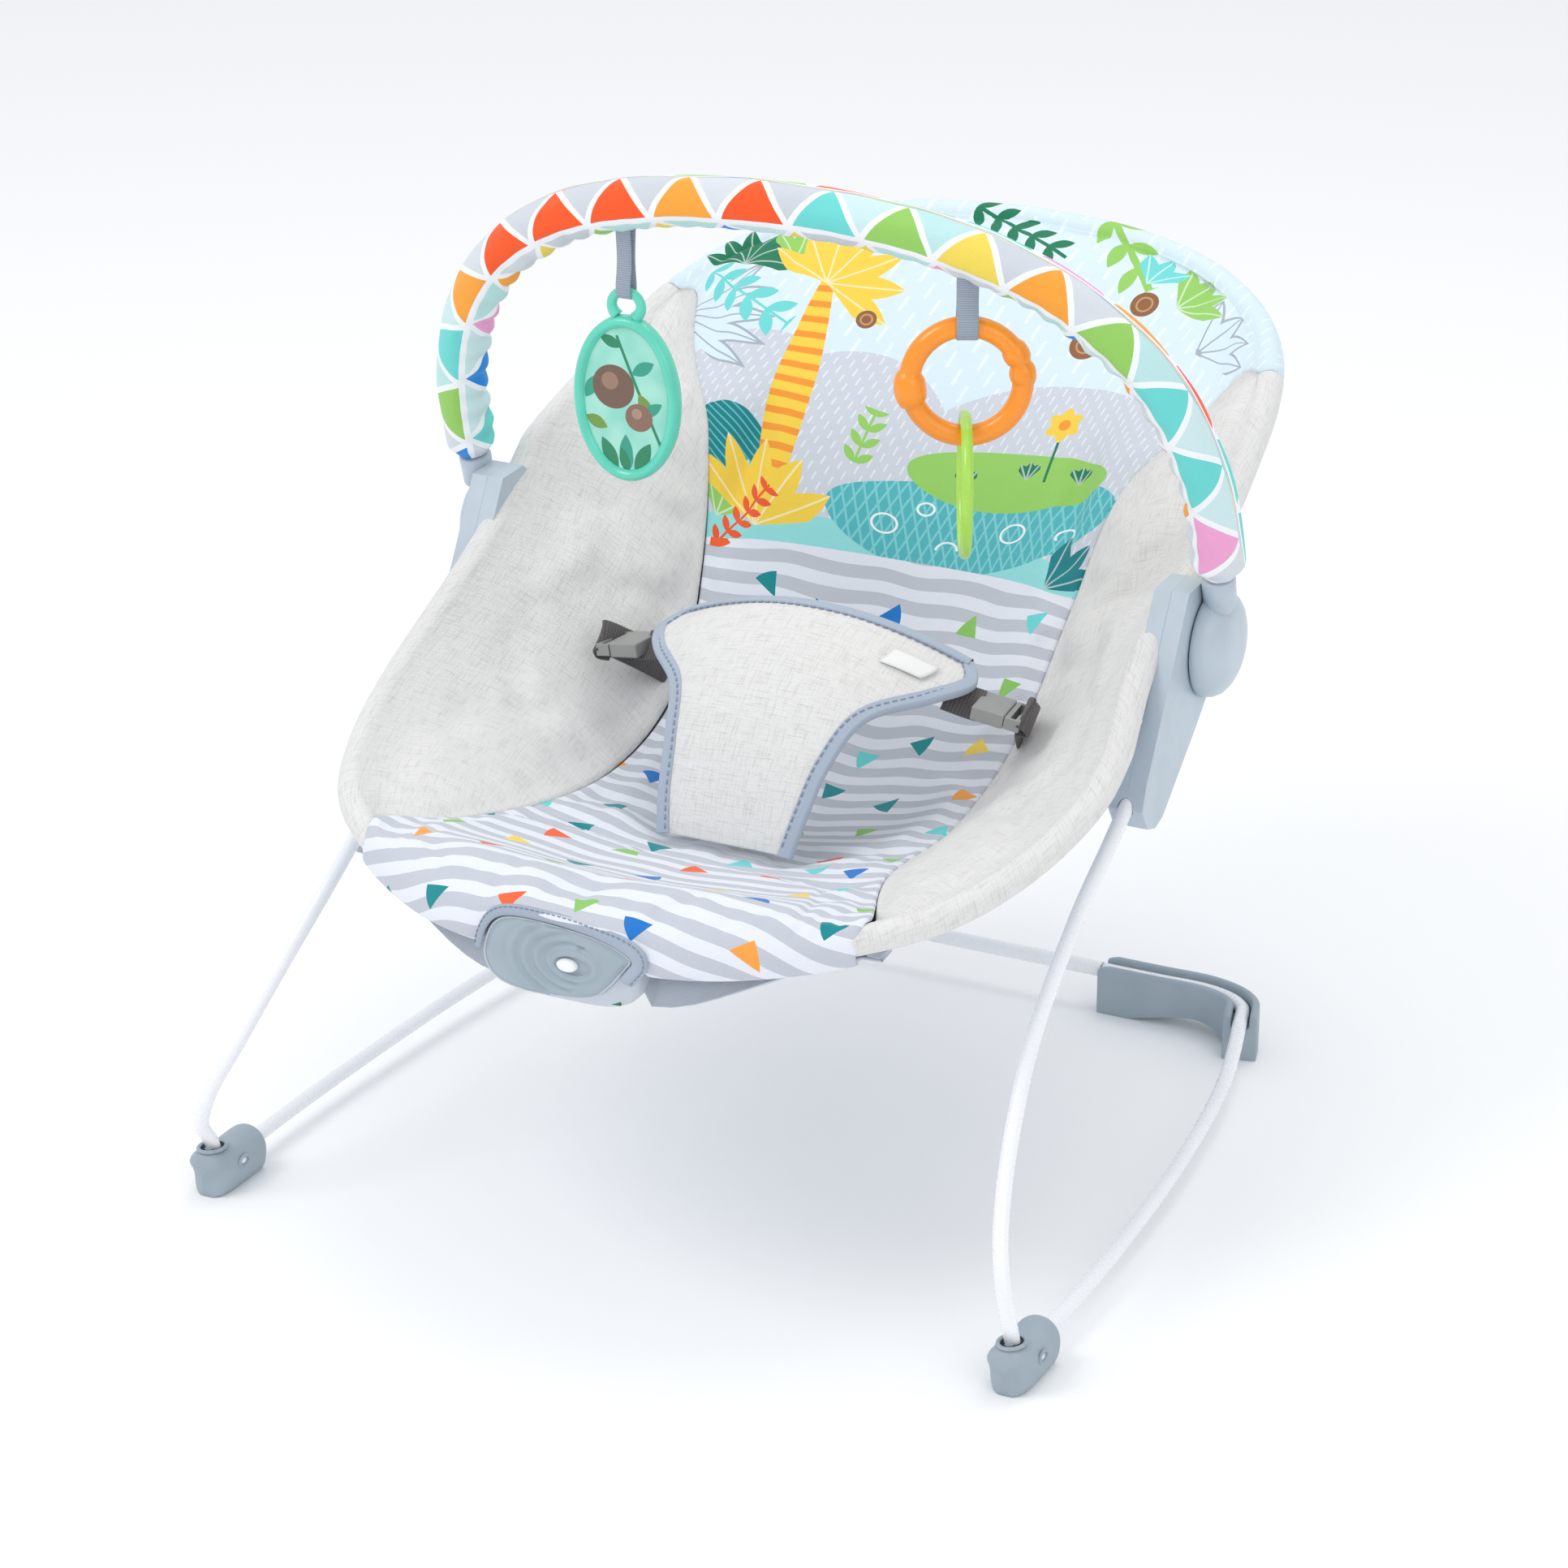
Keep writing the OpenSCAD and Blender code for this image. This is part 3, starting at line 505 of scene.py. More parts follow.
def finish_cloth(paint, place, colour, pitch, thread_height=0.12, crease_height=0.6):
    """Colour with a fine random tone and painted shade of the weave, a little darker in its hollows,
    and the height of threads and creases.
    """
    weave = paint.threads(place, pitch)
    tone = paint.noise(place, 1.6, 3.0, 0.7)
    # painted shade: the colour follows the weave's height, slightly darker in its hollows and lighter
    # on its tops, over the random tone
    tone_and_thread_shade = paint.math("MULTIPLY_ADD", weave, 0.03, paint.ramp(tone, 0.3, 0.7, 0.93, 1.04))
    if isinstance(colour, tuple):
        colour = colour[:3]
    toned = paint.node("ShaderNodeVectorMath", {0: colour, "Scale": tone_and_thread_shade}, operation="SCALE")
    paint.set("Base Color", toned)
    height = paint.math("MULTIPLY_ADD", paint.creases(place), crease_height,
                        paint.math("MULTIPLY", weave, thread_height))
    paint.bump(height, 1.0, 0.7)
    return paint.material


def moulded(name, colour, roughness=0.4, grain=0.05, coat=0.0):
    """Injection-moulded plastic: an even colour, fine grain and a slightly uneven gloss."""
    paint = Painter(name, roughness, coat=coat)
    place = paint.object_place()
    cloudy = paint.noise(place, 0.05, 3.0)
    darker = tuple(c * 0.93 for c in colour[:3]) + (1.0,)
    paint.set("Base Color", paint.mix(paint.ramp(cloudy, 0.35, 0.65), darker, colour))
    fine = paint.noise(place, 2.2, 2.0)
    paint.set("Roughness", paint.ramp(fine, 0.3, 0.7, roughness - 0.05, roughness + 0.07))
    paint.bump(fine, grain, 0.5)
    return paint.material


def enamelled():
    """White powder-coated steel: a soft gloss with a faint orange-peel surface."""
    paint = Painter("white_enamel", 0.28, coat=0.25)
    place = paint.object_place()
    tone = paint.noise(place, 0.02, 2.0)
    paint.set("Base Color", paint.mix(tone, rgb(232, 234, 238), rgb(246, 247, 250)))
    peel = paint.noise(place, 0.7, 2.0)
    paint.set("Roughness", paint.ramp(peel, 0.3, 0.7, 0.24, 0.34))
    paint.bump(peel, 0.05, 0.5)
    return paint.material


def brushed_steel(name, colour):
    paint = Painter(name, 0.35, metallic=0.9)
    place = paint.object_place()
    streaks = paint.noise(paint.local(place, 0, 0, 6.0, 0.4), 1.0, 3.0)
    paint.set("Base Color", paint.mix(streaks, tuple(c * 0.8 for c in colour[:3]) + (1.0,),
                                      colour))
    paint.set("Roughness", paint.ramp(streaks, 0.3, 0.7, 0.27, 0.45))
    paint.bump(streaks, 0.03, 0.5)
    return paint.material


def linen_weave():
    """Off-white cloth with a linen look: uneven warp and weft threads over a fine weave."""
    paint = Painter("linen_weave", 0.85, sheen=0.25, specular=0.2)
    place = paint.cloth()
    warp = paint.noise(paint.local(place, 0, 0, 1.0, 14.0), 1.0, 2.0, 0.6)
    weft = paint.noise(paint.local(place, 5, 5, 14.0, 1.0), 1.0, 2.0, 0.6)
    lines = paint.math("ADD", paint.ramp(warp, 0.5, 0.72), paint.ramp(weft, 0.5, 0.72))
    colour = paint.mix(paint.math("MULTIPLY", lines, 0.55), rgb(228, 227, 226),
                       rgb(199, 197, 194))
    return finish_cloth(paint, place, colour, 1.1, 0.10, 0.9)


STRIPE_PERIOD = 15.0


def wavy_stripes(paint, place):
    """Grey and white bands with wandering edges, as a colour."""
    x, y, _ = paint.axes(place)
    sway = paint.math("MULTIPLY", paint.math("SINE", paint.math("MULTIPLY", x, 0.115)), 1.1)
    drift = paint.ramp(paint.noise(paint.local(place, 0, 0, 60.0, 60.0), 1.0, 1.0), 0, 1, -4, 4)
    height = paint.math("ADD", paint.math("ADD", y, sway), drift)
    share = paint.math("FRACT", paint.math("DIVIDE", height, STRIPE_PERIOD))
    return paint.mix(paint.math("LESS_THAN", share, 0.52), rgb(232, 235, 244),
                     rgb(197, 201, 211))


CONFETTI = ((30, 120, 205), (245, 215, 95), (15, 140, 145), (140, 200, 100), (245, 100, 50),
            (250, 165, 75), (110, 215, 215))


def palette(paint, value, colours):
    """Steps through equal shares of a list of colours."""
    made = paint.tree.nodes.new("ShaderNodeValToRGB")
    made.color_ramp.interpolation = "CONSTANT"
    steps = made.color_ramp.elements
    while len(steps) < len(colours):
        steps.new(0.5)
    for k, colour in enumerate(colours):
        steps[k].position = k / len(colours)
        steps[k].color = rgb(*colour)
    paint.tree.links.new(value, made.inputs[0])
    return made.outputs[0]


TRIANGLE_SPACING = 40.0


def scattered_triangles(paint, place, under):
    """Small coloured triangles, one in each cell of an uneven lattice, each turned at will."""
    cells = paint.tree.nodes.new("ShaderNodeTexVoronoi")
    cells.voronoi_dimensions = "2D"
    cells.inputs["Scale"].default_value = 1.0
    cells.inputs["Randomness"].default_value = 0.42
    scaled = paint.node("ShaderNodeVectorMath", {0: place, "Scale": 1 / TRIANGLE_SPACING},
                        operation="SCALE")
    paint.tree.links.new(scaled, cells.inputs["Vector"])
    chance, turn, _ = paint.axes(cells.outputs["Color"])
    offset = paint.node("ShaderNodeVectorMath", {0: scaled, 1: cells.outputs["Position"]},
                        operation="SUBTRACT")
    offset = paint.node("ShaderNodeVectorMath", {0: offset, "Scale": TRIANGLE_SPACING},
                        operation="SCALE")
    turned = paint.node("ShaderNodeVectorRotate", {
        "Vector": offset, "Angle": paint.math("MULTIPLY", turn, 2 * math.pi)},
        rotation_type="Z_AXIS")
    x, y, _ = paint.axes(turned)
    # two straight sides that meet at the top, and a base that bows out a little
    slant = paint.math("MULTIPLY_ADD", y, 0.5, paint.math(
        "MULTIPLY", paint.math("ABSOLUTE", x), 0.87))
    base = paint.math("MULTIPLY_ADD", paint.math("MULTIPLY", x, x), 0.024, paint.math(
        "MULTIPLY", y, -1.0))
    inside = paint.both(paint.math("LESS_THAN", slant, 4.2), paint.math("LESS_THAN", base, 5.4))
    return paint.mix(inside, under, palette(paint, chance, CONFETTI))


def striped_print():
    paint = Painter("striped_print", 0.75, sheen=0.15, specular=0.25)
    place = paint.cloth()
    colour = scattered_triangles(paint, place, wavy_stripes(paint, place))
    return finish_cloth(paint, place, colour, 0.7, 0.06, 0.8)


# The printed scene, in millimetres of the flat cloth: across from its middle, and up from
# the seam at the front of the seat
GROUND = 284                    # where the scene meets the striped bands, at the middle
SKY = rgb(217, 234, 242)
WHITE = rgb(244, 247, 250)
DARK_GREEN = rgb(28, 122, 88)
LEAF_GREEN = rgb(150, 205, 100)
AQUA = rgb(112, 214, 210)
TEAL = rgb(22, 128, 136)
YELLOW = rgb(246, 208, 74)
ORANGE = rgb(245, 152, 52)
RED_ORANGE = rgb(240, 92, 52)
BROWN = rgb(146, 98, 62)
HILLS = ((-108, 318, 58, 78), (-52, 318, 66, 80), (66, 318, 96, 76), (18, 312, 50, 56))
# (colour, across, up, leaf length and width, direction of the middle, step, count)
OUTLINED_FANS = ((-184, 388, 68, 16, 14, 18, 5), (140, 418, 46, 18, 40, 31, 4))
FANS = (
    (DARK_GREEN, -158, 438, 40, 15, 84, 29, 6),
    (LEAF_GREEN, -124, 448, 34, 14, 80, 34, 4),
    (LEAF_GREEN, 112, 452, 36, 15, 44, 32, 4),
    (AQUA, 88, 466, 27, 12, 70, 36, 3),
    (LEAF_GREEN, -114, 266, 30, 12, 84, 32, 3),
    (AQUA, -98, 284, 24, 10, 84, 36, 4),
    (TEAL, 96, 262, 32, 14, 40, 38, 3),
    (YELLOW, -97, 436, 47, 16, 66, 30, 7),
    (YELLOW, -90, 272, 52, 17, 96, 27, 5),
    (DARK_GREEN, 22, 328, 12, 7, 90, 30, 3),
    (DARK_GREEN, 60, 332, 12, 7, 90, 30, 3),
    (DARK_GREEN, 94, 326, 12, 7, 90, 30, 3),
)
# (colour, stem: across, up, length, width, direction; step, leaf length and width)
SPRIGS = (
    (AQUA, -186, 430, 82, 1.8, -20, 16, 20, 8),
    (LEAF_GREEN, 52, 512, 64, 4.6, -52, 21, 22, 9),
    (DARK_GREEN, -30, 506, 70, 2.4, -24, 14, 15, 6.5),
    (LEAF_GREEN, -44, 330, 34, 1.5, 84, 10, 12, 5),
    (RED_ORANGE, -110, 252, 52, 1.3, 62, 9.5, 10, 4.5),
)
FRUITS = ((66, 422, 9.5), (92, 452, 8.5), (80, 432, 7.0), (-66, 418, 6.0))
CURLS = ((-18, 302, 7.5), (22, 292, 6.5), (62, 300, 7.5), (98, 294, 6.0), (4, 314, 5.0))


def pond(paint, place, colour):
    water = paint.ellipse(place, 38, 305, 92, 27)
    lines = paint.union(paint.hatch(place, 6.5, 24, 0.2), paint.hatch(place, 6.5, -24, 0.2))
    surface = paint.mix(lines, rgb(84, 182, 190), rgb(128, 208, 211))
    curls = paint.union(*(paint.ring(place, x, y, r, 1.5, 0.7) for x, y, r in CURLS))
    above = paint.math("GREATER_THAN", paint.axes(place)[1], 292)
    surface = paint.mix(paint.both(curls, above), surface, WHITE)
    return paint.mix(water, colour, surface)


def flower(paint, place, colour, x, y):
    colour = paint.mix(paint.line(place, x, y - 38, 38, 1.8, 90), colour, DARK_GREEN)
    petals, _ = paint.fan(place, x, y, 12, 8, 0, 60, 6)
    colour = paint.mix(paint.math("LESS_THAN", petals, 1.0), colour, YELLOW)
    return paint.mix(paint.ellipse(place, x, y, 3.6, 3.6), colour, ORANGE)


def jungle_print():
    """The printed scene of the back panel: sky, hills, plants, a pond, and bands below."""
    paint = Painter("jungle_print", 0.72, sheen=0.15, specular=0.25)
    place = paint.cloth()
    x, y, _ = paint.axes(place)
    sag = paint.ramp(y, 60, 260, 0.0, 0.0025)
    level = paint.math("MULTIPLY_ADD", paint.math("MULTIPLY", x, x), sag, y)
    grey = paint.mix(paint.dashes(place, 4.6, 11.0, -14), rgb(206, 211, 221),
                     rgb(226, 231, 238))
    colour = paint.mix(paint.dashes(place, 9.0, 22.0, -14), SKY, rgb(232, 242, 247))
    colour = paint.mix(paint.union(*(paint.ellipse(place, *hill) for hill in HILLS)), colour,
                       grey)
    ink = rgb(166, 174, 188)
    for leaves in OUTLINED_FANS:
        edge, vein = paint.fan(place, *leaves)
        colour = paint.mix(paint.math("LESS_THAN", edge, 1.0), colour, ink)
        blank = paint.both(paint.math("LESS_THAN", edge, 0.78),
                           paint.math("SUBTRACT", 1.0, vein))
        colour = paint.mix(blank, colour, SKY)
    hatched = paint.mix(paint.hatch(place, 4.2, 62, 0.28), TEAL, rgb(96, 186, 190))
    colour = paint.mix(paint.ellipse(place, -118, 306, 27, 30), colour, hatched)
    for tone, *stem in SPRIGS[:-1]:
        colour = paint.mix(paint.sprig(place, *stem), colour, tone)
    banded = paint.mix(paint.hatch(place, 11.0, 100, 0.4), YELLOW, ORANGE)
    colour = paint.mix(paint.leaf(place, -84, 258, 196, 24, 94), colour, banded)
    ground = paint.math("LESS_THAN", level, GROUND + 17)
    colour = paint.mix(ground, colour, rgb(150, 222, 222))
    colour = pond(paint, place, colour)
    colour = paint.mix(paint.ellipse(place, 52, 331, 66, 18, -5), colour, LEAF_GREEN)
    for tone, *leaves in FANS:
        edge, vein = paint.fan(place, *leaves)
        inside = paint.math("LESS_THAN", edge, 1.0)
        paler = tuple(lerp(c, 1.0, 0.45) for c in tone[:3]) + (1.0,)
        colour = paint.mix(inside, colour, paint.mix(vein, tone, paler))
    tone, *stem = SPRIGS[-1]
    colour = paint.mix(paint.sprig(place, *stem), colour, tone)
    for across, up, size in FRUITS:
        colour = paint.mix(paint.ellipse(place, across, up, size, size), colour, BROWN)
        colour = paint.mix(paint.ring(place, across, up, size * 0.55, 1.2), colour,
                           rgb(196, 152, 110))
    colour = flower(paint, place, colour, 72, 368)
    sagging = paint.node("ShaderNodeCombineXYZ", {0: x, 1: level})
    bands = scattered_triangles(paint, place, wavy_stripes(paint, sagging))
    colour = paint.mix(paint.math("LESS_THAN", level, GROUND), colour, bands)
    return finish_cloth(paint, place, colour, 0.7, 0.06, 0.8)


SLEEVE_TONES = ((250, 90, 35), (240, 215, 90), (150, 205, 100), (240, 165, 210),
                (250, 165, 60), (30, 140, 225), (110, 215, 210))
SLEEVE_PALE = ((205, 210, 218), (190, 228, 228), (214, 219, 226), (205, 232, 234))


def sleeve_print():
    """Rows of bright triangles with pale ones between them, on white."""
    paint = Painter("sleeve_print", 0.75, sheen=0.15, specular=0.25)
    place = paint.cloth()
    pitch, row_height, half_gap = 40.0, 28.27, 0.048
    x, y, _ = paint.axes(place)
    row_at = paint.math("DIVIDE", y, row_height)
    row = paint.math("FLOOR", row_at)
    height = paint.math("FRACT", row_at)
    cell_at = paint.math("MULTIPLY_ADD", row, 0.43, paint.math("DIVIDE", x, pitch))
    aside = paint.math("ABSOLUTE", paint.math("SUBTRACT", paint.math("FRACT", cell_at), 0.5))
    # half width of the bright triangle, with slightly bowed sides
    half = paint.math("MULTIPLY_ADD", paint.math("POWER", height, 1.25), -0.5, 0.5)
    between = paint.both(paint.math("GREATER_THAN", height, 0.06),
                         paint.math("LESS_THAN", height, 0.94))
    bright = paint.math("LESS_THAN", aside, paint.math("SUBTRACT", half, half_gap))
    pale = paint.math("GREATER_THAN", aside, paint.math("ADD", half, half_gap))
    colour = WHITE
    for mask, shift, tones in ((pale, 0.5, SLEEVE_PALE), (bright, 0.0, SLEEVE_TONES)):
        cell = paint.math("FLOOR", paint.math("ADD", cell_at, shift))
        chance = paint.node("ShaderNodeTexWhiteNoise", {
            "Vector": paint.node("ShaderNodeCombineXYZ", {0: cell, 1: row})}, "Value",
            noise_dimensions="2D")
        colour = paint.mix(paint.both(mask, between), colour, palette(paint, chance, tones))
    return finish_cloth(paint, place, colour, 0.7, 0.06, 0.5)


def plain_cloth(name, colour, pitch=0.9):
    paint = Painter(name, 0.8, sheen=0.2, specular=0.2)
    place = paint.cloth()
    return finish_cloth(paint, place, colour, pitch, 0.08, 0.6)


def ribbed(name, colour, pitch):
    """Tape with fine ribs across it; the hollows between the ribs are painted darker, as painted shade.
    """
    paint = Painter(name, 0.75, sheen=0.2, specular=0.25)
    place = paint.cloth()
    x, y, _ = paint.axes(place)
    ribs = paint.math("SINE", paint.math("MULTIPLY", y, 2 * math.pi / pitch))
    fine = paint.math("SINE", paint.math("MULTIPLY", x, 2 * math.pi / (pitch * 0.8)))
    darker = tuple(c * 0.72 for c in colour[:3]) + (1.0,)
    # painted shade: the colour darkens in the hollows between ribs, following the same ribs as the bump
    paint.set("Base Color", paint.mix(paint.ramp(ribs, -1, 1), darker, colour))
    paint.bump(paint.math("MULTIPLY_ADD", fine, 0.4, ribs), 0.15, 0.8)
    return paint.material


# ---------------------------------------------------------------- wires
FOOT_X = 230
WIRE_R = 4
RUNNER_ROUTE = [(230, 12, 13), (231, 60, 13), (229, 130, 14), (223, 220, 16), (211, 310, 19),
                (193, 380, 23), (184, 402, 23), (162, 412, 23), (130, 412, 23), (97, 412, 23)]
LEG_ROUTE = [(230, -6, 14), (230, -10, 29), (231, -17, 43), (226, -14, 62), (218, 2, 85),
             (210, 31, 116), (203, 72, 151), (200, 127, 189), (200, 166, 213), (200, 190, 228),
             (200, 204, 236.8)]
LOWER_ROUTE = [(0, -26, 204), (60, -20, 205), (105, -6, 207), (140, 14, 212), (170, 45, 219),
               (190, 92, 230), (200, 142, 245), (200, 178, 262), (200, 196, 272)]
UPPER_ROUTE = [(200, 232, 295), (200, 256, 310.6), (200, 280, 326.2), (197, 314, 342),
               (193, 350, 356), (186, 398, 376), (173, 436, 392), (148, 466, 407),
               (108, 490, 419), (56, 503, 426), (0, 507, 428)]


def both_ways(half, middle_first):
    """Joins half a symmetric path to its mirror image."""
    if middle_first:
        return list(reversed(mirrored(half))) + half[1:]
    return half[:-1] + list(reversed(mirrored(half)))


def add_wires(enamel):
    for side, sign in SIDES.items():
        for kind, route, body in (("runner", RUNNER_ROUTE, "base"), ("leg", LEG_ROUTE, "seat")):
            path = [Vector((sign * p.x, p.y, p.z)) for p in spline_path(route, 7)]
            up = (0, 0, 1) if kind == "runner" else (1, 0, 0)
            wire = tube(f"{side}_{kind}_wire", path, WIRE_R, up, body, enamel)
            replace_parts(wire, f"{side}_{kind}_tube")
    lower = both_ways(spline_path(LOWER_ROUTE, 7), True)
    upper = both_ways(spline_path(UPPER_ROUTE, 7), False)
    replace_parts(tube("lower_frame_wire", lower, WIRE_R, (0, 0, 1), "seat", enamel),
                "seat_frame_lower_tube")
    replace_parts(tube("upper_frame_wire", upper, WIRE_R, (0, 0.4, 1), "seat",
                     enamel), "seat_frame_upper_tube")


# ---------------------------------------------------------------- feet
def boot_ring(sign, y, half_width, top, lean):
    """A D-shaped ring of the rubber boot: round above and flat on the floor."""
    ring = []
    steps = 28
    middle = top - half_width
    for s in range(steps):
        a = 2 * math.pi * s / steps
        x = half_width * math.cos(a)
        z = middle + half_width * math.sin(a)
        if z < middle:
            z = max(middle + (middle + 2.5) * math.sin(a), 0.0)
            x = math.copysign(half_width * abs(math.cos(a)) ** 0.55, math.cos(a))
        ring.append(Vector((sign * FOOT_X + x, y + lean(z), max(z, 0.0))))
    return ring


def front_boot(side, sign, rubber):
    """Rubber boot: a toe with a forward lip, and a sleeve round the end of the runner."""
    def toe(z):
        return 4.5 * smooth(z, 20, 11) - 1.5 * smooth(z, 9, 2)

    def upright(_):
        return 0.0

    # (depth, half width, height of the top)
    toe_rows = ((-20.6, 3.5, 21.5), (-20.2, 7.0, 24.0), (-18.0, 10.2, 26.4), (-14.0, 11.6, 27.0),
                (-9.0, 12.0, 26.0))
    sleeve_rows = ((-3.0, 12.0, 24.6), (4.0, 12.0, 24.6), (14.0, 12.1, 25.0), (21.0, 12.0, 25.0),
                   (24.2, 11.4, 24.4), (25.4, 10.2, 23.2), (25.2, 7.0, 20.0), (24.6, 4.8, 17.8))
    rings = [boot_ring(sign, y, w, top, toe) for y, w, top in toe_rows]
    rings += [boot_ring(sign, y, w, top, upright) for y, w, top in sleeve_rows]
    boot = loft(f"{side}_front_boot", rings, "base", rubber)
    add_subdivision(boot)
    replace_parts(boot, f"{side}_front_foot")
    return boot


def boot_details(side, sign, rubber, dark, enamel):
    """The slot round the leg wire with a dark sheet in it as painted shade, and the end of the hinge
    pin in its oval recess.
    """
    slot_path = [Vector((sign * FOOT_X + 6.3 * math.cos(a), -9.5 + 9.2 * math.sin(a),
                         26.0 - 0.9 * math.sin(a))) for a in
                 (2 * math.pi * k / 32 for k in range(33))]
    tube(f"{side}_boot_lip", slot_path, 1.1, (0, 0, 1), "base", rubber, sides=10)
    # painted shade: a dark sheet across the slot stands for the shade inside it; the rubber there is
    # the same grey as the boot
    floor = [[p.lerp(Vector((sign * FOOT_X, -9.5, 25.6)), t) for p in slot_path[:-1]]
             for t in (0.0, 0.5, 0.95)]
    loft(f"{side}_boot_slot_shade", floor, "base", dark)
    for end in (-1, 1):
        centre = Vector((sign * FOOT_X + end * 11.6, 2, 15))
        rim = [centre + Vector((end * 0.2, 4.4 * math.cos(a), 2.9 * math.sin(a)))
               for a in (2 * math.pi * k / 24 for k in range(25))]
        name = "outer" if end == sign else "inner"
        tube(f"{side}_{name}_pin_rim", rim, 0.9, (1, 0, 0), "base", rubber,
             sides=8)
        lathe(f"{side}_{name}_pin_head", centre - Vector((end * 0.8, 0, 0)), (end, 0, 0),
              (0, 1, 0), ((2.6, -1.0), (2.6, 0.4), (2.0, 0.9), (0.8, 1.0)), "base",
              enamel, sides=20)


def rear_clip(side, sign, plastic):
    """Channel clip round the rear corner of the wire, arched between its two feet."""
    path = [Vector((sign * p.x, p.y, p.z)) for p in spline_path(RUNNER_ROUTE, 8)]
    path = [p for p in path if p.y > 379]
    count = len(path) - 1

    def profile(share):
        ends = min(share, 1 - share) * count
        arch = 7.5 * math.sin(math.pi * clamp((share - 0.22) / 0.62))
        top = 6.0 - 2.0 * (1 - smooth(ends, 0, 2.0))
        low = -23.0 + arch + 3.0 * (1 - smooth(share * count, 0, 1.0)) * (share > 0.5)
        w = 9.6
        return [(-w, low), (-w, top - 1.4), (-w + 1.4, top), (-6.2, top), (-5.3, top - 1.2),
                (-5.1, -2.4), (-3.0, -4.6), (3.0, -4.6), (5.1, -2.4), (5.3, top - 1.2),
                (6.2, top), (w - 1.4, top), (w, top - 1.4), (w, low)]

    clip = profile_sweep(f"{side}_rear_clip", path, profile, (0, 0, 1), "base",
                         plastic)
    add_bevel(clip, 1.2, 35, 2)
    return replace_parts(clip, f"{side}_rear_foot")


# ---------------------------------------------------------------- sling surfaces
MIDDLE_LINE = [(0, -8, 206), (0, 112, 186), (0, 205, 168), (0, 282, 190), (0, 335, 245),
               (0, 375, 305), (0, 420, 356), (0, 492, 419)]
SEAM_LINE = [(139, 23, 214), (103, 110, 200), (98, 200, 192), (100, 272, 214),
             (109, 318, 272), (123, 350, 332), (150, 392, 371), (130, 459, 403)]
# Where the side wings' casing leaves the lower wire and joins the upper one, past the housing
HOUSING_LINE = [(200, 176, 261), (193, 228, 297), (199, 288, 330)]
SPINE_LINE = [(0, 20, 360), (0, 90, 360), (0, 150, 360), (0, 170, 370), (0, 200, 390),
              (0, 240, 430), (0, 290, 490), (0, 380, 560)]
TIP_INDEX = 5.5                 # of UPPER_ROUTE, where the seam meets the frame wire
LOWER_AT_ROWS = (2.98, 5.1, 6.95)       # places along LOWER_ROUTE beside rows 0, 1 and 2
UPPER_AT_ROWS = (2.25, 4.0, 4.95, TIP_INDEX)    # along UPPER_ROUTE beside rows 4 to 7
ROLL_R = 7.6                    # cloth casing round the frame wire
ROLL_FROM = 50                  # degrees round the wire, from the seat side
ROLL_TO = 285
PAD_DEPTH = 9.0
HEM_DEPTH = 2.8


def around_wire(centre, along, inward, upward, degrees, radius=ROLL_R):
    """A point on the casing round the wire; 0 faces the seat and 90 is its top."""
    along = along.normalized()
    inward = (inward - along * inward.dot(along)).normalized()
    top = upward - along * upward.dot(along)
    top = (top - inward * top.dot(inward)).normalized()
    a = math.radians(degrees)
    return centre + radius * (math.cos(a) * inward + math.sin(a) * top)


def seat_row(v, u):
    m, s = spline(MIDDLE_LINE, v), spline(SEAM_LINE, v)
    return Vector((s.x * u, lerp(m.y, s.y, u * u), lerp(m.z, s.z, u * u)))


def head_wire(u):
    """Centre of the frame wire round the head, from one seam tip to the other."""
    last = len(UPPER_ROUTE) - 1
    p = spline(UPPER_ROUTE, TIP_INDEX + (last - TIP_INDEX) * (1 - abs(u)))
    return Vector((math.copysign(p.x, u), p.y, p.z))


def head_casing(u, degrees, radius=ROLL_R):
    step = 0.02
    along = head_wire(min(u + step, 1)) - head_wire(max(u - step, -1))
    centre = head_wire(u)
    inward = seat_row(6.0, u * 0.8) - centre
    upward = spline(SPINE_LINE, 6.6) - centre
    return around_wire(centre, along, inward, upward, degrees, radius)


def panel_point(v, u):
    """Upper face of the middle panel; the last rows bend round the head."""
    share = smooth(v, 5.4, 7.0)
    if share == 0:
        return seat_row(v, u)
    return seat_row(v, u).lerp(head_casing(u, ROLL_FROM), share)


def along_table(table, t):
    i = int(clamp(math.floor(t), 0, len(table) - 2))
    return lerp(table[i], table[i + 1], t - i)


def edge_centre(v):
    """Middle of the cloth casing along one side, on the frame wire or past the housing."""
    if v < 2:
        return spline(LOWER_ROUTE, along_table(LOWER_AT_ROWS, v))
    if v > 4:
        return spline(UPPER_ROUTE, along_table(UPPER_AT_ROWS, v - 4))
    return spline(HOUSING_LINE, v - 2)


def edge_casing(v, sign, degrees, radius=ROLL_R):
    """The casing round the wire along one side."""
    step = 0.12
    centre = edge_centre(v)
    along = edge_centre(min(v + step, 7)) - edge_centre(max(v - step, 0))
    inward = panel_point(v, 1.0) - centre
    if v > 6:
        inward = inward.lerp(seat_row(6.0, 0.8) - centre, smooth(v, 6, 7))
    upward = spline(SPINE_LINE, v) - centre
    p = around_wire(centre, along, inward, upward, degrees, radius)
    return Vector((sign * p.x, p.y, p.z))


def wing_point(v, w, sign):
    """Upper face of a side wing, from the seam, w = 0, to its casing, w = 1."""
    seam = panel_point(v, 1.0)
    seam = Vector((sign * seam.x, seam.y, seam.z))
    sag = 24 * w * (1 - w) * clamp(v) * (1 - smooth(v, 5.0, 7.0))
    return seam.lerp(edge_casing(v, sign, ROLL_FROM), w) - Vector((0, 0, sag))


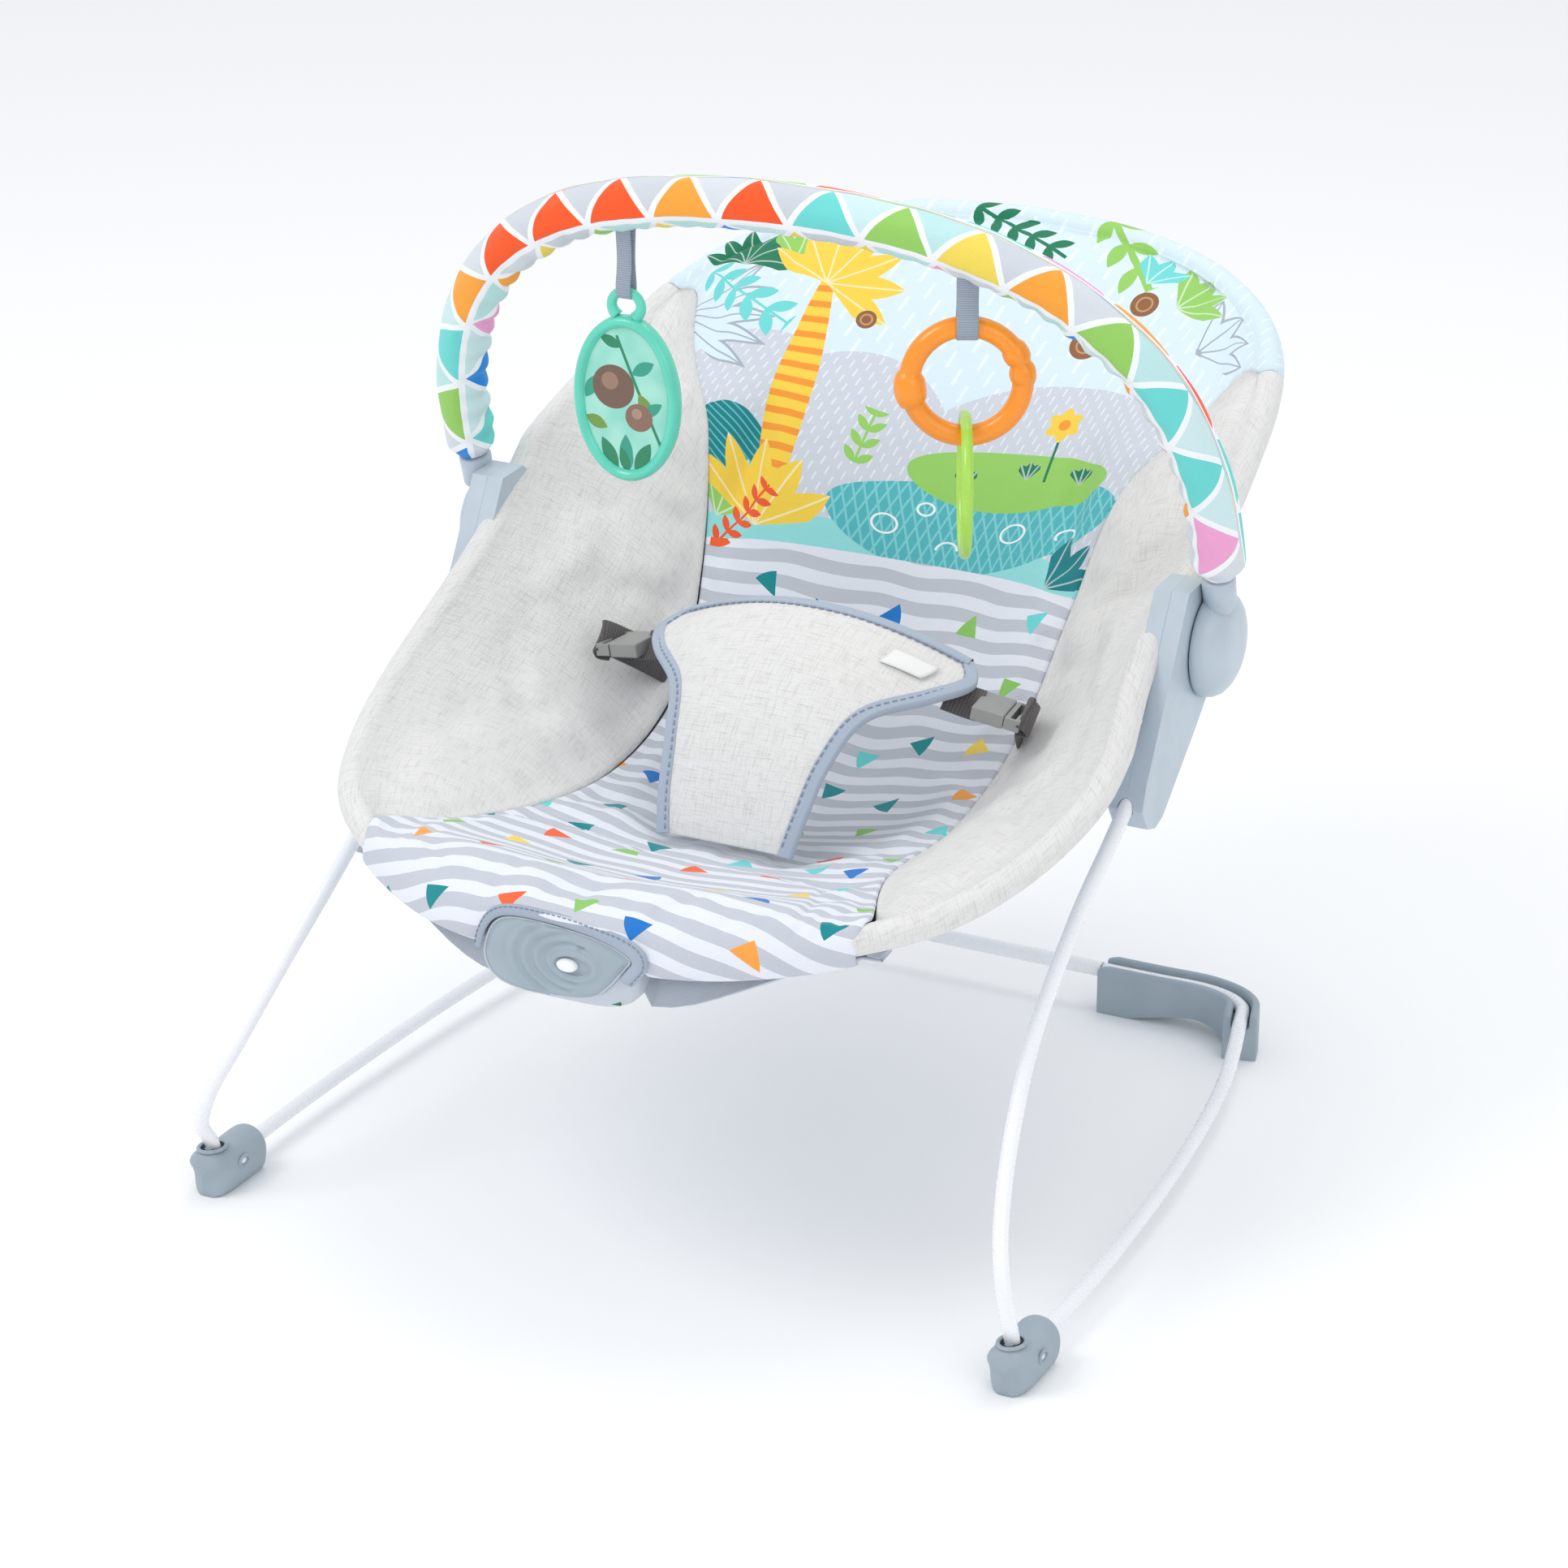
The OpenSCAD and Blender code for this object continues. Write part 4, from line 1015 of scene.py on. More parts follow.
def cloth_marks(grid):
    """Places in the flat cloth, in metres: along each row from its middle, and up each column."""
    cols = len(grid[0])
    marks = [[None] * cols for _ in grid]
    climb = [0.0] * cols
    for i, row in enumerate(grid):
        steps = arc_lengths(row)
        middle = steps[cols // 2]
        if i:
            climb = [c + (row[j] - grid[i - 1][j]).length for j, c in enumerate(climb)]
        for j in range(cols):
            marks[i][j] = ((steps[j] - middle) * MM, climb[j] * MM)
    return marks


def steps_between(start, end, count):
    return [lerp(start, end, k / count) for k in range(count + 1)]


SIM_STEPS = 20                  # frames of cloth simulation
UNDERSIDE_SHARE = 0.08          # how far the underside may move, as a share of the face
FILL_PRESSURE = 4.0
FILL_GROWTH = 0.035             # of the cloth under that pressure


def held_at_edges(grid, margin, first_rows=0, last_rows=0):
    """Numbers of a slab's vertices within margin cells of its edges, or in its end rows."""
    rows, cols = len(grid), len(grid[0])
    held = []
    for i in range(rows):
        for j in range(cols):
            inside = (max(margin, first_rows) <= i < rows - max(margin, last_rows)
                      and margin <= j < cols - margin)
            if not inside:
                held += [i * cols + j, rows * cols + i * cols + j]
    return held


def puff(piece, held, cap):
    """Fills a padded slab by cloth simulation, then subdivides it.

    The held vertices stay in place. The others move no further than cap, in millimetres,
    on the face, and less on the underside, which lies on the lining.
    """
    mesh = piece.data
    start = [v.co.copy() for v in mesh.vertices]
    group = piece.vertex_groups.new(name="held")
    group.add(held, 1.0, "REPLACE")
    cloth = piece.modifiers.new("filling", "CLOTH")
    cloth.settings.quality = 6
    cloth.settings.mass = 0.15
    cloth.settings.tension_stiffness = 12
    cloth.settings.compression_stiffness = 12
    cloth.settings.shear_stiffness = 4
    cloth.settings.bending_stiffness = 0.3
    cloth.settings.shrink_min = -FILL_GROWTH
    cloth.settings.use_pressure = True
    cloth.settings.uniform_pressure_force = FILL_PRESSURE
    cloth.settings.vertex_group_mass = group.name
    cloth.settings.effector_weights.gravity = 0
    cloth.point_cache.frame_start = 1
    cloth.point_cache.frame_end = SIM_STEPS
    for step in range(1, SIM_STEPS + 1):
        scene.frame_set(step)
    settled = piece.evaluated_get(bpy.context.evaluated_depsgraph_get()).data
    for k, vertex in enumerate(settled.vertices):
        move = vertex.co - start[k]
        limit = cap * MM * (1.0 if k < len(start) // 2 else UNDERSIDE_SHARE)
        if move.length > limit:
            move = move * (limit / move.length)
        start[k] = start[k] + move
    piece.modifiers.remove(cloth)
    piece.vertex_groups.remove(group)
    for vertex, place in zip(mesh.vertices, start):
        vertex.co = place
    scene.frame_set(1)
    add_subdivision(piece)


def add_back_panel(material):
    across = steps_between(-1, 1, 44)
    grid = [[panel_point(v, u) for u in across] for v in steps_between(1.0, 7.0, 62)]
    rolled = steps_between(ROLL_FROM, ROLL_TO, 14)[1:]
    grid += [[head_casing(u, degrees) for u in across] for degrees in rolled]
    seat_rows = len(grid) - len(rolled)

    def depth(i, j):
        side = min(j, len(across) - 1 - j)
        full = lerp(5.0, PAD_DEPTH, smooth(side, 0, 5))
        return lerp(full, HEM_DEPTH, smooth(i, seat_rows - 12, seat_rows))

    panel = slab("printed_back_panel", grid, depth, "seat", material,
                 cloth_marks(grid))
    puff(panel, held_at_edges(grid, 2, 0, len(rolled) + 3), 6.0)
    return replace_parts(panel, "back_panel")


def add_wing(side, sign, material):
    inner = steps_between(0.0, 1.0, 16)
    rolled = steps_between(ROLL_FROM, ROLL_TO, 12)[1:]
    grid = []
    for v in steps_between(-0.28, 7.0, 76):
        row = [wing_point(v, w, sign) for w in inner]
        row += [edge_casing(v, sign, degrees) for degrees in rolled]
        grid.append(row if sign > 0 else row[::-1])
    cols = len(grid[0])

    def depth(i, j):
        from_seam = j if sign > 0 else cols - 1 - j
        full = lerp(5.0, PAD_DEPTH, smooth(from_seam, 0, 3))
        narrow = smooth(i, 76, 60) * smooth(i, -2, 6)
        return lerp(HEM_DEPTH, lerp(full, HEM_DEPTH, smooth(from_seam, 8, 16)), narrow)

    wing = slab(f"{side}_linen_wing", grid, depth, "seat", material,
                cloth_marks(grid))
    held = held_at_edges(grid, 2)
    roll = [j if sign > 0 else cols - 1 - j for j in range(13, cols)]
    held += [i * cols + j + layer for i in range(len(grid)) for j in roll
             for layer in (0, len(grid) * cols)]
    # the waist strap is sewn down beside its buckle
    clip = Vector((sign * 128, 235, 243))
    held += [i * cols + j + layer for i in range(len(grid)) for j in range(cols)
             for layer in (0, len(grid) * cols) if (grid[i][j] - clip).length < 36]
    puff(wing, held, 7.0)
    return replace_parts(wing, f"{side}_wing")


# Outline of the vibration unit's face as (x, height), round from its right end over the top
UNIT_OUTLINE = [(39.6, 199.4), (41.8, 203.6), (35.5, 207.6), (24, 211.2), (10, 213.4),
                (-5, 214.5), (-20, 214.5), (-30, 212.4), (-36, 207), (-39.4, 199),
                (-40.5, 190.5), (-37.5, 183), (-32, 178.6), (-23.5, 176.4), (-13, 175.5),
                (1, 176.2), (14, 177.8), (23, 181), (29, 186.3), (34.6, 193)]
UNIT_MIDDLE = Vector((0, 0, 195))
UNIT_SIDES = 120


def closed_spline(points, per):
    """Points of a smooth closed curve through (x, height) points."""
    count = len(points)
    flat = [Vector((points[k % count][0], 0, points[k % count][1]))
            for k in range(-1, count + 2)]
    return [spline(flat, 1 + k / per) for k in range(count * per)]


UNIT_EDGE = closed_spline(UNIT_OUTLINE, UNIT_SIDES // len(UNIT_OUTLINE))


def unit_top(x):
    """Height of the top edge of the vibration unit at x."""
    return max((p.z for p in UNIT_EDGE if abs(p.x - x) < 1.6), default=UNIT_MIDDLE.z)


def lip_wire(x):
    """Centre of the frame wire across the front."""
    t = 0.0
    while spline(LOWER_ROUTE, t).x < abs(x) and t < 4:
        t += 0.01
    p = spline(LOWER_ROUTE, t)
    return Vector((x, p.y, p.z))


FRONT_HALF = 139                # half width of the front panel at the lip


def front_lip(u):
    """Points of the lip from the seat, over the wire, to its underside."""
    x = FRONT_HALF * u
    wire = lip_wire(x)
    side = smooth(abs(x), 40.0, 46.0)
    low = lerp(unit_top(x) + 2.0, wire.z - 11, side)
    top = wire.z + lerp(18, 9.5, smooth(abs(x), 55, FRONT_HALF))
    reach = lerp(1.0, 0.5, smooth(abs(x), 55, FRONT_HALF))
    drop = top - low
    shape = ((15, top), (3, top + 0.8), (-8, top - 0.10 * drop), (-15.5, top - 0.30 * drop),
             (-19.4, top - 0.58 * drop), (-19.8, top - 0.84 * drop), (-16, low), (-6, low + 1))
    return [Vector((x, wire.y + y * reach, z)) for y, z in shape]


def add_front_panel(material):
    across = steps_between(-1, 1, 72)
    lips = [front_lip(u) for u in across]
    last = len(lips[0]) - 1
    grid = [[spline(lip, t) for lip in lips] for t in steps_between(last, 0.0, 24)]
    lip_rows = len(grid)
    seat = [panel_point(0.0, u) for u in across]
    for v in steps_between(0.08, 1.02, 16):
        fade = 1 - smooth(v, 0, 0.62)
        grid.append([panel_point(v, u) + (lips[j][0] - seat[j]) * fade
                     for j, u in enumerate(across)])

    def depth(i, j):
        side = min(j, len(across) - 1 - j)
        full = lerp(HEM_DEPTH, PAD_DEPTH, smooth(i, lip_rows - 3, lip_rows + 5))
        return lerp(HEM_DEPTH, full, smooth(side, 0, 4)) if i > 7 else 1.6

    # the print runs straight back from the lip and meets the print of the seat at its seam
    climbs = cloth_marks(grid)
    marks = [[(p.x * MM, climbs[i][j][1] - climbs[-1][j][1]) for j, p in enumerate(row)]
             for i, row in enumerate(grid)]
    panel = slab("striped_front_panel", grid, depth, "seat", material, marks)
    puff(panel, held_at_edges(grid, 2, lip_rows - 8), 5.0)
    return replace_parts(panel, "front_panel")


def add_lining(material):
    """One sheet under all the panels, from casing to casing."""
    outer = steps_between(0.0, 1.0, 10)
    across = steps_between(-1, 1, 28)
    grid = []
    for v in steps_between(0.0, 7.0, 60):
        spine = spline(SPINE_LINE, v)

        def below(p, depth):
            return p + (p - spine).normalized() * depth

        row = []
        hem = 13 * (1 - smooth(v, 6.0, 7.0))
        for w in reversed(outer[1:]):
            p = below(wing_point(v, w, -1), lerp(hem, 4, w))
            row.append(p.lerp(edge_casing(v, -1, ROLL_TO - 20, ROLL_R - 0.6), smooth(w, 0.6, 1)))
        row += [below(panel_point(v, u), hem) for u in across]
        for w in outer[1:]:
            p = below(wing_point(v, w, 1), lerp(hem, 4, w))
            row.append(p.lerp(edge_casing(v, 1, ROLL_TO - 20, ROLL_R - 0.6), smooth(w, 0.6, 1)))
        grid.append(row)
    under = [[head_casing(u, ROLL_TO - 20, ROLL_R - 0.6) for u in across]]
    first, last = grid[0], grid[-1]
    side = len(outer) - 1
    for j in range(len(across)):
        last[side + j] = under[0][j]
    lips = []
    for p in first:
        u = clamp(p.x / FRONT_HALF, -1, 1)
        low = front_lip(u)[-1]
        drop = 22 * smooth(abs(p.x), 34, 41) * (1 - smooth(abs(p.x), 44, 130))
        lips.append(Vector((p.x, low.y + 2.5, min(low.z + 1.0, p.z) - drop)))
    grid.insert(0, lips)
    sheet = slab("grey_seat_lining", grid, lambda i, j: 1.2, "seat", material,
                 cloth_marks(grid))
    cells = ((grid[i][j], grid[i + 1][j], grid[i][j + 1], grid[i + 1][j + 1])
             for i in range(len(grid) - 1) for j in range(len(grid[0]) - 1))
    area = sum(((b - a).cross(c - a).length + (b - d).cross(c - d).length) / 2
               for a, b, c, d in cells)
    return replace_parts(sheet, "seat_lining")


# ---------------------------------------------------------------- housings and toy bar
def add_housings(plastic):
    for side, sign in SIDES.items():
        for half in ("inner", "outer"):
            softened(f"{side}_housing_{half}", f"{side}_hub_{half}_shell", "seat",
                     plastic, 2.2)
        hub = Vector((sign * HUB_X, BAR_PIVOT[0], BAR_PIVOT[1]))
        dome = lathe(f"{side}_hub_dome", hub, (sign, 0, 0), (0, 1, 0),
                     ((27.0, 0.5), (28.6, 1.2), (28.6, 3.5), (28.0, 6.5), (26.2, 9.6),
                      (23.2, 12.2), (19.0, 14.2), (13.5, 15.4), (7.0, 15.9), (1.0, 16.0)),
                     "toy_bar", plastic)
        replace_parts(dome, f"{side}_bar_hub")
        neck = bar_place((sign * 218, 22))
        top = bar_place((sign * 218, 42))
        lathe(f"{side}_bar_collar", neck, top - neck, (1, 0, 0),
              ((5.0, -8.0), (6.2, 0.0), (8.6, 3.0), (8.9, 18.6), (8.4, 19.6), (5.6, 19.8)),
              "toy_bar", plastic)


BAR_PIVOT = (268, 291)          # depth and height
HUB_X = 209.5                   # inner face of the round cover
BAR_LEAN = math.radians(15.4)
BAR_CONTROL = [(218, 0), (211, 33), (270, 225), (0, 225)]
SLEEVE_R = 13.5


def bar_place(p):
    """A point (x, height) of the arch in its leaning plane."""
    return Vector((p[0], BAR_PIVOT[0] - p[1] * math.sin(BAR_LEAN),
                   BAR_PIVOT[1] + p[1] * math.cos(BAR_LEAN)))


def bar_curve(t):
    a, b, c, d = (Vector(p) for p in BAR_CONTROL)
    s = 1 - t
    return bar_place(a * s ** 3 + b * 3 * s * s * t + c * 3 * s * t * t + d * t ** 3)


def bar_path(start, count):
    half = [bar_curve(t) for t in steps_between(start, 1.0, count)]
    return both_ways(half, False)


def add_toy_bar(plastic, cloth):
    tube_piece = tube("toy_bar_core", bar_path(0.15, 24), 5.5, (0, 1, 0), "toy_bar",
                      plastic)
    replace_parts(tube_piece, "toy_bar_tube")
    path = bar_path(0.225, 130)
    lengths = arc_lengths(path)
    whole = lengths[-1]
    sides = 40
    rings, marks = [], []
    for k, (p, (side, top)) in enumerate(zip(path, path_frames(path, (0, 1, 0)))):
        ring, mark = [], []
        at = lengths[k]
        end = min(at, whole - at)
        gather = smooth(end, 0, 9)
        for s in range(sides):
            a = 2 * math.pi * s / sides
            # the inside of the arch is gathered by its seam
            inside = max(-math.cos(a), 0.0) ** 1.5
            wander = noise.noise(Vector((at * 0.035, math.cos(a) * 1.6, math.sin(a) * 1.6)))
            pucker = math.sin(at * 0.42 + 1.6 * math.sin(at * 0.031) + a * 0.6)
            bend = 0.45 + 0.55 * smooth(abs(whole / 2 - at), 60, 190)
            r = SLEEVE_R + 1.3 * wander + bend * inside * 1.35 * pucker
            r = lerp(8.2, r, gather)
            ring.append(p + r * (math.cos(a) * side + math.sin(a) * top))
            mark.append((at * MM, (s / sides) * 2 * math.pi * SLEEVE_R * MM, 0.0))
        rings.append(ring)
        marks += mark
    sleeve = loft("padded_bar_sleeve", rings, "toy_bar", cloth, marks=marks)
    add_subdivision(sleeve)
    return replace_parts(sleeve, "toy_bar_sleeve")


# ---------------------------------------------------------------- crotch pad, straps, buckles
PAD_ROWS = [(37, 131, 189, 0), (41, 140, 210, 1), (46, 156, 236, 3), (56, 178, 258, 6),
            (81, 202, 273, 16), (92, 222, 282, 24), (84, 238, 286, 22)]
PAD_THICK = 7
PAD_UNDER = Vector((0, 0.75, -0.66))


def pad_row(v):
    last = len(PAD_ROWS) - 1
    i = int(clamp(math.floor(v), 0, last - 1))
    rows = [np.array(PAD_ROWS[int(clamp(k, 0, last))], float) for k in (i - 1, i, i + 1, i + 2)]
    a, b, c, d = rows
    f = v - i
    return 0.5 * (2 * b + (c - a) * f + (2 * a - 5 * b + 4 * c - d) * f * f
                  + (3 * b - a - 3 * c + d) * f * f * f)


def pad_point(v, u):
    half, y, z, drop = pad_row(v)
    return Vector((half * u, y + 0.5 * drop * u * u, z - drop * u * u))


def add_crotch_pad(cloth, binding, thread, tag_cloth):
    across = steps_between(-1, 1, 28)
    ups = steps_between(0.0, len(PAD_ROWS) - 1, 60)
    last = len(ups) - 1
    grid = []
    for i, v in enumerate(ups):
        row = []
        for u in across:
            p = pad_point(v, u)
            rise = (1 - u ** 4) * smooth(i, -1, 5) * smooth(i, last + 1, last - 6)
            ripple = noise.noise(Vector((p.x * 0.035, p.y * 0.03, p.z * 0.03)))
            row.append(p - PAD_UNDER * (1.6 * rise + 0.9 * ripple * rise))
        grid.append(row)

    def depth(i, j):
        u = across[j]
        return 2.4 + (PAD_THICK - 2.4 + 1.5) * (1 - u ** 4) * smooth(i, -3, 5)

    pad = slab("crotch_pad_body", grid, depth, "seat", cloth,
               cloth_marks(grid))
    add_subdivision(pad)
    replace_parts(pad, "crotch_pad")
    # grey binding along the two sides and the top edge
    edge = [pad_point(v, -1) for v in ups] + [pad_point(ups[-1], u) for u in across[1:]]
    edge += [pad_point(v, 1) for v in reversed(ups[:-1])]
    edge = [p + PAD_UNDER * 1.2 for p in edge]
    middle = [p + PAD_UNDER * 1.2 for p in pad_middles(ups, across)]
    rings = []
    marks = []
    lengths = arc_lengths(edge)
    for k, (p, t) in enumerate(zip(edge, tangents(edge))):
        inward = (middle[k] - p)
        inward = (inward - t * inward.dot(t)).normalized()
        face = t.cross(inward).normalized()
        shape = ((-1.2, 2.4), (4.6, 3.4), (5.4, 2.8), (5.4, -2.8), (4.6, -3.4), (-1.2, -2.4),
                 (-2.0, -1.2), (-2.0, 1.2))
        rings.append([p + inward * a + face * b for a, b in shape])
        marks += [(a * MM, lengths[k] * MM, 0.0) for a, b in shape]
    band = loft("crotch_pad_binding", rings, "seat", binding, marks=marks)
    add_bevel(band, 0.5, 40, 2)
    stitch_line = [p + (m - p).normalized() * 3.9 - PAD_UNDER * 3.5
                   for p, m in zip(edge, middle)]
    add_stitches("crotch_pad_stitches", stitch_line, "seat", thread)
    add_tag(tag_cloth)


def pad_middles(ups, across):
    """For each point of the pad's edge, a point inwards from it."""
    sides = [pad_point(v, 0.0) for v in ups]
    top = [pad_point(ups[-1] - 1.0, u * 0.9) for u in across[1:]]
    return sides + top + list(reversed(sides[:-1]))


def add_stitches(name, path, body, thread, length=2.6, gap=2.0, width=0.55):
    """A dashed line of thread along a path."""
    lengths = arc_lengths(path)
    points, faces = [], []
    at = gap
    k = 0
    directions = tangents(path)
    while at + length < lengths[-1]:
        ends = []
        for place in (at, at + length):
            while lengths[k + 1] < place:
                k += 1
            share = (place - lengths[k]) / max(lengths[k + 1] - lengths[k], 1e-6)
            ends.append(path[k].lerp(path[k + 1], share))
        t = directions[k]
        side = t.cross(Vector((0.2, -0.7, 0.7))).normalized()
        top = side.cross(t)
        first = len(points)
        for end in ends:
            for a in range(6):
                angle = math.pi * a / 3
                points.append(end + width * (math.cos(angle) * side + math.sin(angle) * top))
        for a in range(6):
            b = (a + 1) % 6
            faces.append((first + a, first + b, first + 6 + b, first + 6 + a))
        faces.append(tuple(range(first, first + 6)))
        faces.append(tuple(range(first + 6, first + 12)))
        at += length + gap
    return add_piece(name, points, faces, body, thread)


def add_tag(cloth):
    """A small blank label sewn near the right tip of the pad."""
    rows = []
    for v in steps_between(4.35, 4.95, 6):
        rows.append([pad_point(v, u) - PAD_UNDER * (3.4 + 0.6 * math.sin(math.pi * (u - 0.58) / 0.26))
                     for u in steps_between(0.58, 0.84, 10)])
    slab("blank_label", rows, lambda i, j: 0.5, "seat", cloth, cloth_marks(rows))


STRAP_AT = Vector((96, 231, 249))
STRAP_DIR = Vector((33, 4, -6)).normalized()
STRAP_WIDTH = 19
BUCKLE_BAR = 24.6               # from the edge of the pad out to the bar of the clip


def strap_frame(sign):
    """Origin, outward direction and width direction of one waist strap."""
    out = Vector((sign * STRAP_DIR.x, STRAP_DIR.y, STRAP_DIR.z))
    flat = Vector((-sign * 0.12, 0.78, 0.62))
    across = (flat - out * flat.dot(out)).normalized()
    return Vector((sign * STRAP_AT.x, STRAP_AT.y, STRAP_AT.z)), out, across


def tape(name, path, across, width, thickness, body, material):
    """A flat strap along a path; across is its width direction."""
    lengths = arc_lengths(path)
    rings, marks = [], []
    for k, (p, t) in enumerate(zip(path, tangents(path))):
        wide = (across - t * across.dot(t)).normalized()
        thin = t.cross(wide)
        half, thick = width / 2, thickness / 2
        ring = [(-half, -thick * 0.4), (-half + 0.6, -thick), (0, -thick), (half - 0.6, -thick),
                (half, -thick * 0.4), (half, thick * 0.4), (half - 0.6, thick), (0, thick),
                (-half + 0.6, thick), (-half, thick * 0.4)]
        rings.append([p + wide * a + thin * b for a, b in ring])
        marks += [(a * MM, lengths[k] * MM, 0.0) for a, b in ring]
    return loft(name, rings, body, material, marks=marks)


def add_waist_straps(webbing, plastic):
    for side, sign in SIDES.items():
        start, out, across = strap_frame(sign)
        softened(f"{side}_buckle_housing", f"{side}_buckle_socket", "seat",
                 plastic, 1.3)
        softened(f"{side}_buckle_clip", f"{side}_buckle_tongue", f"{side}_buckle",
                 plastic, 0.8)
        under = out.cross(across) * sign
        inner = [start - out * 16 + under * 1.5, start - out * 8 + under * 0.5,
                 start - out * 1.5, start + out * 3]
        tape(f"{side}_pad_tab", spline_path(inner, 6), across, STRAP_WIDTH, 1.8, "seat",
             webbing)
        bar = start + out * BUCKLE_BAR
        seam = panel_point(3.05, 1.0)
        seam = Vector((sign * (seam.x + 5), seam.y - 1, seam.z + 2))
        outer = [bar + out * 1.0 - under * 2.4, bar + out * 6.2 - under * 1.4,
                 bar + out * 7.4 + under * 1.2, bar + out * 3.0 + under * 6.5,
                 bar.lerp(seam, 0.5) + under * 4, seam]
        strap = tape(f"{side}_waist_strap", spline_path(outer, 10), Vector((0, 0.8, 0.6)),
                     STRAP_WIDTH, 1.6, None, webbing)
        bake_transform(strap)
        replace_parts(strap, f"{side}_waist_webbing")


# ---------------------------------------------------------------- vibration unit
UNIT_FACE_Y = -46
SWITCH_AT = (7.4, 195)
LAMP_AT = (15, 205)


def unit_ring(y, inset=0.0, share=1.0):
    """The unit's outline at depth y, shrunk towards its middle by inset millimetres."""
    ring = []
    for p in UNIT_EDGE:
        out = p - UNIT_MIDDLE
        q = UNIT_MIDDLE + out * (share * (1 - inset / out.length))
        ring.append(Vector((q.x, y, q.z)))
    return ring


def ripple_height(x, z):
    """Concentric raised waves round the switch, fading towards the rim."""
    dx, dz = x - SWITCH_AT[0] - 3, z - SWITCH_AT[1] - 1
    far = math.hypot(dx * 0.86, dz * 1.35)
    bearing = math.atan2(dz, dx)
    reach = lerp(17, 36, smooth(abs(bearing), 1.2, 2.4))
    fade = smooth(far, 9.5, 12) * (1 - smooth(far, reach - 7, reach))
    return 0.8 * fade * math.sin((far - 9.5) * 2 * math.pi / 6.2)


def add_unit_face(plastic):
    """Front shell: domed face with ripples, a dished recess for the switch, and a skirt."""
    loops = 46
    rings = []
    for k in range(loops + 1):
        share = k / loops
        ring = unit_ring(UNIT_FACE_Y, 0.0, share)
        for p in ring:
            dome = 2.4 * smooth(share, 0.84, 1.0) ** 1.5
            dish = math.hypot((p.x - SWITCH_AT[0] - 2.5) / 11.0, (p.z - SWITCH_AT[1]) / 5.6)
            recess = 1.4 * (1 - smooth(dish, 0.72, 1.0))
            lamp = 1.2 * (math.hypot(p.x - LAMP_AT[0], p.z - LAMP_AT[1]) < 1.5)
            p.y += dome + recess + lamp - ripple_height(p.x, p.z)
        rings.append(ring)
    for inset, depth in ((-0.4, 3.4), (-0.5, 4.6), (0.4, 5.4), (1.6, 5.6), (2.0, 4.4)):
        rings.append(unit_ring(UNIT_FACE_Y + depth, inset))
    shell = loft("unit_rippled_face", rings, "seat", plastic)
    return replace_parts(shell, "unit_front_shell")


def add_unit_body(plastic):
    """Back shell: from the edge of the face it widens downwards into a rounded box."""
    box = []
    for k in range(UNIT_SIDES):
        a = math.atan2(UNIT_EDGE[k].z - UNIT_MIDDLE.z, UNIT_EDGE[k].x)
        c, s = math.cos(a), math.sin(a)
        r = (abs(c / 40.0) ** 3.4 + abs(s / 20.5) ** 3.4) ** (-1 / 3.4)
        box.append(Vector((r * c, 0, 190 + r * s)))
    rings = []
    for y, inset, share, cut in ((-42.2, 2.4, 0.0, 0.0), (-42.0, 1.0, 0.0, 0.0),
                                 (-40.0, 0.7, 0.15, 0.0), (-37.0, 0.7, 0.62, 0.0),
                                 (-34.0, 0.7, 0.92, 0.0), (-31.0, 0.7, 1.0, 0.0),
                                 (-18.0, 0.7, 1.0, 0.3), (-15.5, 0.7, 1.0, 1.6),
                                 (-14.3, 0.7, 1.0, 4.0)):
        ring = []
        for near, far in zip(unit_ring(y, inset), box):
            p = near.lerp(Vector((far.x, y, far.z)), share)
            out = p - Vector((0, y, 190))
            p = p - out.normalized() * cut
            ring.append(Vector((p.x, y, min(p.z, lerp(220, 197, smooth(y, -41, -37))))))
        rings.append(ring)
    body = loft("unit_rear_body", rings, "seat", plastic)
    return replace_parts(body, "unit_back_shell")


def add_unit_trim(plastic, rim_plastic, white):
    rim = unit_ring(UNIT_FACE_Y + 2.0, 0.8)
    tube("unit_rim_line", rim + rim[:1], 0.6, (0, 1, 0), "seat", rim_plastic,
         sides=8)
    recess = []
    for s in range(49):
        a = 2 * math.pi * s / 48
        recess.append(Vector((SWITCH_AT[0] + 2.5 + 10.2 * math.cos(a), UNIT_FACE_Y + 0.3,
                              SWITCH_AT[1] + 5.2 * math.sin(a))))
    tube("switch_recess_lip", recess, 0.45, (0, 1, 0), "seat", plastic, sides=8)
    softened("unit_battery_door", "battery_door", "seat", plastic, 0.6)
    rings = []
    for scale, depth in ((0.2, -2.3), (0.6, -2.2), (0.85, -1.8), (0.98, -0.9), (1.0, 0.2),
                         (1.0, 1.6)):
        rings.append([Vector((SWITCH_AT[0] + 5.6 * scale * math.cos(a),
                              UNIT_FACE_Y + depth,
                              SWITCH_AT[1] + 3.3 * scale * math.sin(a)))
                      for a in (2 * math.pi * s / 40 for s in range(40))])
    knob = loft("power_switch_knob", rings, "power_switch", white)
    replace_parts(knob, "power_switch")


